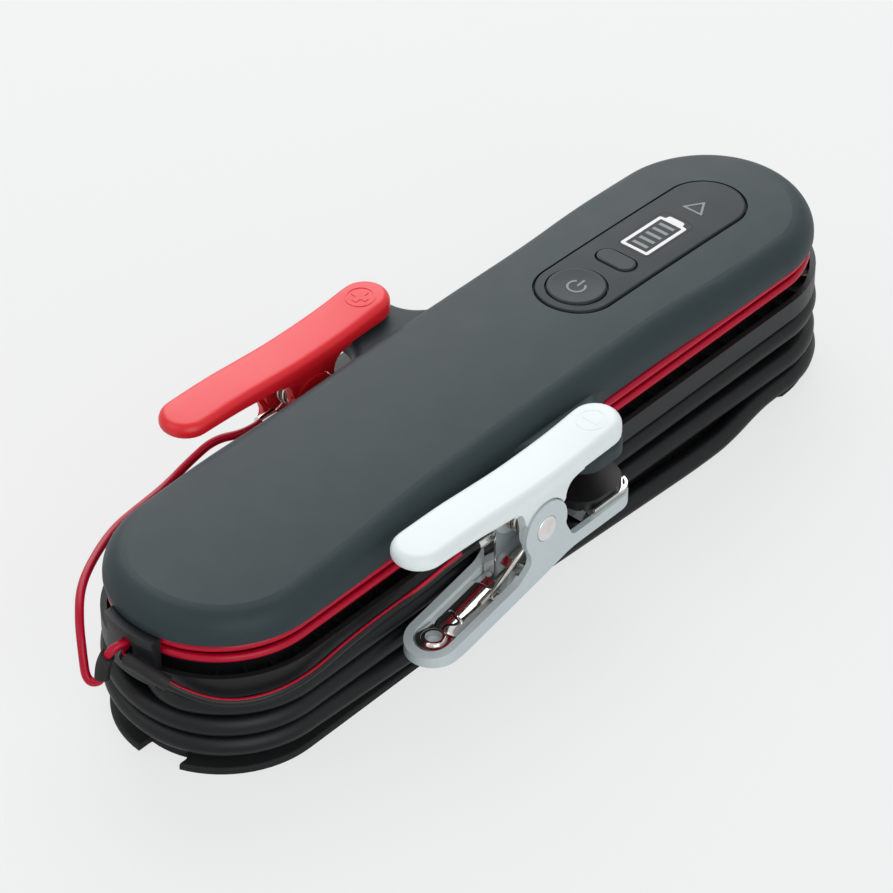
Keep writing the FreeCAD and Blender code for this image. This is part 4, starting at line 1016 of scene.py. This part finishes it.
class PackPanelMarks(bpy.types.Operator):
    """Battery outline, level bars, warning triangle and power symbol"""

    bl_idname = "pack.panel_marks"
    bl_label = "Panel marks"

    def execute(self, context):
        sizes = settings("pack_panel")
        middle = self.battery(sizes)
        self.level_bars(sizes, middle)
        self.warning(sizes)
        self.power_symbol(sizes)
        return {"FINISHED"}

    def battery(self, s):
        """The battery outline on its window; gives the middle of the outline without its cap."""
        low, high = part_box("battery_window")
        x0 = (low.x + high.x - s.battery_length - s.cap_length) / 2
        x1 = x0 + s.battery_length
        x2 = x1 + s.cap_length
        y, cap, w = s.battery_width / 2, s.cap_width / 2, s.line
        outer = rounded_corners([(x0, -y), (x1, -y), (x1, -cap), (x2, -cap), (x2, cap), (x1, cap), (x1, y),
                                 (x0, y)], 1.0 * MM, 4)
        inner = rounded_corners([(x0 + w, -y + w), (x1 - w, -y + w), (x1 - w, y - w), (x0 + w, y - w)],
                                0.3 * MM, 3)
        piece = flat_plate("battery_outline", [outer, inner], s.mark_thickness,
                           surface_of("battery_window"), "print_white")
        keep(piece, "charger", "lamp_white")
        return (x0 + x1) / 2

    def level_bars(self, s, middle):
        tree, inputs = row_tree("level_bar_row")
        height, thick = surface_of("battery_window"), s.mark_thickness
        bars = grown("level_bars", tree, inputs, {
            "Count": s.bars, "Pitch": s.bar_pitch, "Size": (s.bar_width, s.bar_length, thick),
            "Start": (middle - (s.bars - 1) / 2 * s.bar_pitch, 0, thick * MARK_LIFT),
            "Material": FINISHES["print_grey"]})
        for vertex in bars.data.vertices:
            vertex.co.z += height(vertex.co.x, vertex.co.y)
        keep(bars, "charger", "window_grey")

    def warning(self, s):
        low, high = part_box("warning_window")
        reach = s.warning_side / sqrt(3)
        centre = (low.x + (high.x - low.x) / 3, 0)
        loops = [rounded_corners(arc(centre, r, 0, 2 * pi, 3)[:-1], 0.25 * MM, 3)
                 for r in (reach, reach - s.warning_line)]
        piece = flat_plate("warning_outline", loops, s.mark_thickness,
                           surface_of("warning_window", "control_panel"), "print_grey")
        keep(piece, "charger", "window_grey")

    def power_symbol(self, s):
        """An open ring, and a bar from its middle through the gap."""
        centre = Vector((middle_of("power_button").x * MM, 0))
        gap = radians(38)
        outer, inner = (arc(centre, s.symbol_radius + step, gap, 2 * pi - gap, 36)
                        for step in (s.symbol_line / 2, -s.symbol_line / 2))
        place, long, wide = s.symbol_radius * 0.78, s.symbol_radius * 1.25 / 2, s.symbol_line / 2
        corners = [centre + Vector((place + x, y))
                   for x, y in ((-long, -wide), (long, -wide), (long, wide), (-long, wide))]
        bar = rounded_corners(corners, s.symbol_line * 0.3, 2)
        piece = flat_plate("power_symbol", [outer + inner[::-1], bar], s.mark_thickness,
                           surface_of("power_button"), "print_grey")
        keep(piece, "power_button", "button_grey")


class PackClampLevers(bpy.types.Operator):
    """Smooth paddles of the two levers, on the cheeks that turn on the pins"""

    bl_idname = "pack.clamp_levers"
    bl_label = "Clamp levers"

    def execute(self, context):
        sizes = settings("pack_clamps")
        for side, finish in LEVER_FINISHES.items():
            node = side + "_clamp_lever"
            pin = middle_of(side + "_clamp_pin")
            low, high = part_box(node)
            half = (high.y - low.y) / (2 * MM)
            bm = bmesh.new()
            paddle(bm, pin, half, sizes)
            neck(bm, pin, half, half - sizes.lever_wall / MM, sizes.cheek_clear / MM)
            bmesh.ops.remove_doubles(bm, verts=bm.verts, dist=1e-6)
            bmesh.ops.recalc_face_normals(bm, faces=bm.faces)
            cheeks(bm, node, pin, half - CHEEK_INSET)
            keep(mesh_piece(side + "_lever_paddle", bm, finish), node, finish, node)
        return {"FINISHED"}


class PackClampSprings(bpy.types.Operator):
    """Coils of the two springs, and the legs that follow the levers round the pins"""

    bl_idname = "pack.clamp_springs"
    bl_label = "Clamp springs"

    def execute(self, context):
        s = settings("pack_clamps")
        radius, thick = s.spring_radius / MM, s.spring_wire / (2 * MM)
        foot, last, step = 26, 60, 4
        leave = radians(last)
        way = Vector((-sin(leave), 0, cos(leave)))
        for side, hand in (("positive", -1), ("negative", 1)):
            node = side + "_clamp_spring"
            low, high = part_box(node)
            pin = middle_of(side + "_clamp_pin")
            plane = (high.y if hand > 0 else low.y) / MM - hand * thick
            root = Vector((pin.x + radius * cos(leave), plane, pin.z + radius * sin(leave)))
            bm = bmesh.new()
            coil_without_leg(bm, node, root, way, thick * 1.1)
            keep(mesh_piece(side + "_spring_coil", bm, "spring_steel"), "charger", "spring_steel", node)
            path = []
            for degrees in range(foot, last, step):
                a = radians(degrees)
                climb = s.spring_pitch / MM * (last - degrees) / 360
                path.append((pin.x + radius * cos(a), plane - hand * climb,
                             pin.z + radius * sin(a)))
            path += [root, root + way * 8, root + way * (s.spring_leg / MM)]
            leg = wire(side + "_spring_leg", path, thick * 0.985, "spring_steel")
            keep(leg, side + "_clamp_lever", "spring_steel")
        return {"FINISHED"}


class PackStripBridges(bpy.types.Operator):
    """Crowned face and small bent bridge of each contact strip"""

    bl_idname = "pack.strip_bridges"
    bl_label = "Strip bridges"

    def execute(self, context):
        sizes = settings("pack_clamps")
        for side in SIDES:
            pin = middle_of(side + "_clamp_pin")
            height = surface_of(self.liner(side, pin, sizes))
            self.bridge(side, pin, height, sizes.bridge_width / (2 * MM))
        return {"FINISHED"}

    def liner(self, side, pin, sizes):
        """The crowned face of the strip, along the trough's rim from the eyelet to the spring's foot."""
        reach, crown = sizes.liner_reach / MM, sizes.liner_crown / MM
        start, end, steps, across, wall = -37.4, -15.5, 34, 20, 0.4
        bm = bmesh.new()
        rings = []
        for i in range(steps + 1):
            x = start + (end - start) * i / steps
            z = smooth_level(TROUGH_RIM, x) - 1.0
            z -= 0.9 * max(0.0, 1 - i / 5) ** 2 + 3.0 * max(0.0, (x - end + 2.0) / 2.0) ** 2
            narrow = 0.62 + 0.38 * sqrt(min(1.0, i / 4))
            line = [reach * narrow * (2 * k / across - 1) for k in range(across + 1)]
            upper = [(x, y, z - crown * (y / reach) ** 2) for y in line]
            rings.append(vertices_at(bm, pin, upper + [(x, y, up - wall) for x, y, up in reversed(upper)]))
        return self.nickel_piece(side + "_strip_liner", bm, rings)

    def bridge(self, side, pin, height, w):
        """The small bridge that stands across the strip behind its eyelet."""
        place, reach, foot = pin.x - 31.5, 3.4, 0.5
        bm = bmesh.new()
        rings = []
        for y, lift in ((-reach, 0.0), (foot - reach, 0.5), (-1.2, 0.7), (1.2, 0.7), (reach - foot, 0.5),
                        (reach, 0.0)):
            z = height(place * MM, (pin.y + y) * MM) / MM + lift
            rings.append([bm.verts.new(metres(place + dx + y * 0.25, pin.y + y, z + dz)) for dx, dz in (
                (-w, -0.3), (-w, 0.0), (-w * 0.5, 0.16), (w * 0.5, 0.16), (w, 0.0), (w, -0.3))])
        self.nickel_piece(side + "_strip_bridge", bm, rings)

    def nickel_piece(self, name, bm, rings):
        skin(bm, rings)
        bmesh.ops.recalc_face_normals(bm, faces=bm.faces)
        piece = mesh_piece(name, bm, "nickel")
        keep(piece, "charger", "contact_nickel")
        return piece


class PackClampSigns(bpy.types.Operator):
    """Raised polarity signs on the two levers"""

    bl_idname = "pack.clamp_signs"
    bl_label = "Clamp signs"

    def execute(self, context):
        s = settings("pack_clamps")
        arm, half = s.sign_radius * 0.64, s.sign_line * 1.6
        minus = [(-half, -arm), (half, -arm), (half, arm), (-half, arm)]
        plus = [(-arm, -half), (-half, -half), (-half, -arm), (half, -arm), (half, -half), (arm, -half),
                (arm, half), (half, half), (half, arm), (-half, arm), (-half, half), (-arm, half)]
        for side, corners, share in (("positive", plus, 1.0), ("negative", minus, 0.4)):
            pin = middle_of(side + "_clamp_pin")
            centre = (pin.x * MM + s.nose_reach - s.sign_x, pin.y * MM)
            top = surface_of(bpy.data.objects[side + "_lever_paddle"])
            finish, tall = LEVER_FINISHES[side], s.sign_height * share
            ring = [arc(centre, s.sign_radius + step, 0, 2 * pi, 40)[:-1]
                    for step in (s.sign_line / 2, -s.sign_line / 2)]
            sign = [(centre[0] + x, centre[1] + y) for x, y in corners]
            for name, outlines in (("_sign_ring", ring), ("_sign", [sign])):
                piece = flat_plate(side + name, outlines, tall, top, finish)
                keep(piece, side + "_clamp_lever", finish)
        return {"FINISHED"}


OPERATORS = (PackStage, PackFinishes, PackMainsCable, PackClampLeads, PackPanelMarks, PackClampLevers,
             PackClampSprings, PackStripBridges, PackClampSigns)


class PackSidebar(bpy.types.Panel):
    """Sidebar list of the pack's operators"""

    bl_idname = "VIEW3D_PT_charging_pack"
    bl_label = "Charging pack"
    bl_space_type = "VIEW_3D"
    bl_region_type = "UI"
    bl_category = "Charging pack"

    def draw(self, context):
        for operator in OPERATORS:
            self.layout.operator(operator.bl_idname)
        for name, group in GROUPS.items():
            box = self.layout.box()
            box.label(text=group.__doc__)
            for key in group.__annotations__:
                box.prop(getattr(context.scene, name), key)


def register():
    for name, group in GROUPS.items():
        bpy.utils.register_class(group)
        setattr(bpy.types.Scene, name, PointerProperty(type=group))
    for cls in (*OPERATORS, PackSidebar):
        bpy.utils.register_class(cls)


def unregister():
    for cls in (PackSidebar, *reversed(OPERATORS)):
        bpy.utils.unregister_class(cls)
    for name, group in reversed(GROUPS.items()):
        delattr(bpy.types.Scene, name)
        bpy.utils.unregister_class(group)


def main():
    """Register the add-on and make every piece in order."""
    register()
    bpy.ops.pack.stage()
    bpy.ops.pack.finishes()
    bpy.ops.pack.mains_cable()
    bpy.ops.pack.clamp_leads()
    bpy.ops.pack.panel_marks()
    bpy.ops.pack.clamp_levers()
    bpy.ops.pack.clamp_springs()
    bpy.ops.pack.strip_bridges()
    bpy.ops.pack.clamp_signs()


if __name__ == "__main__":
    main()
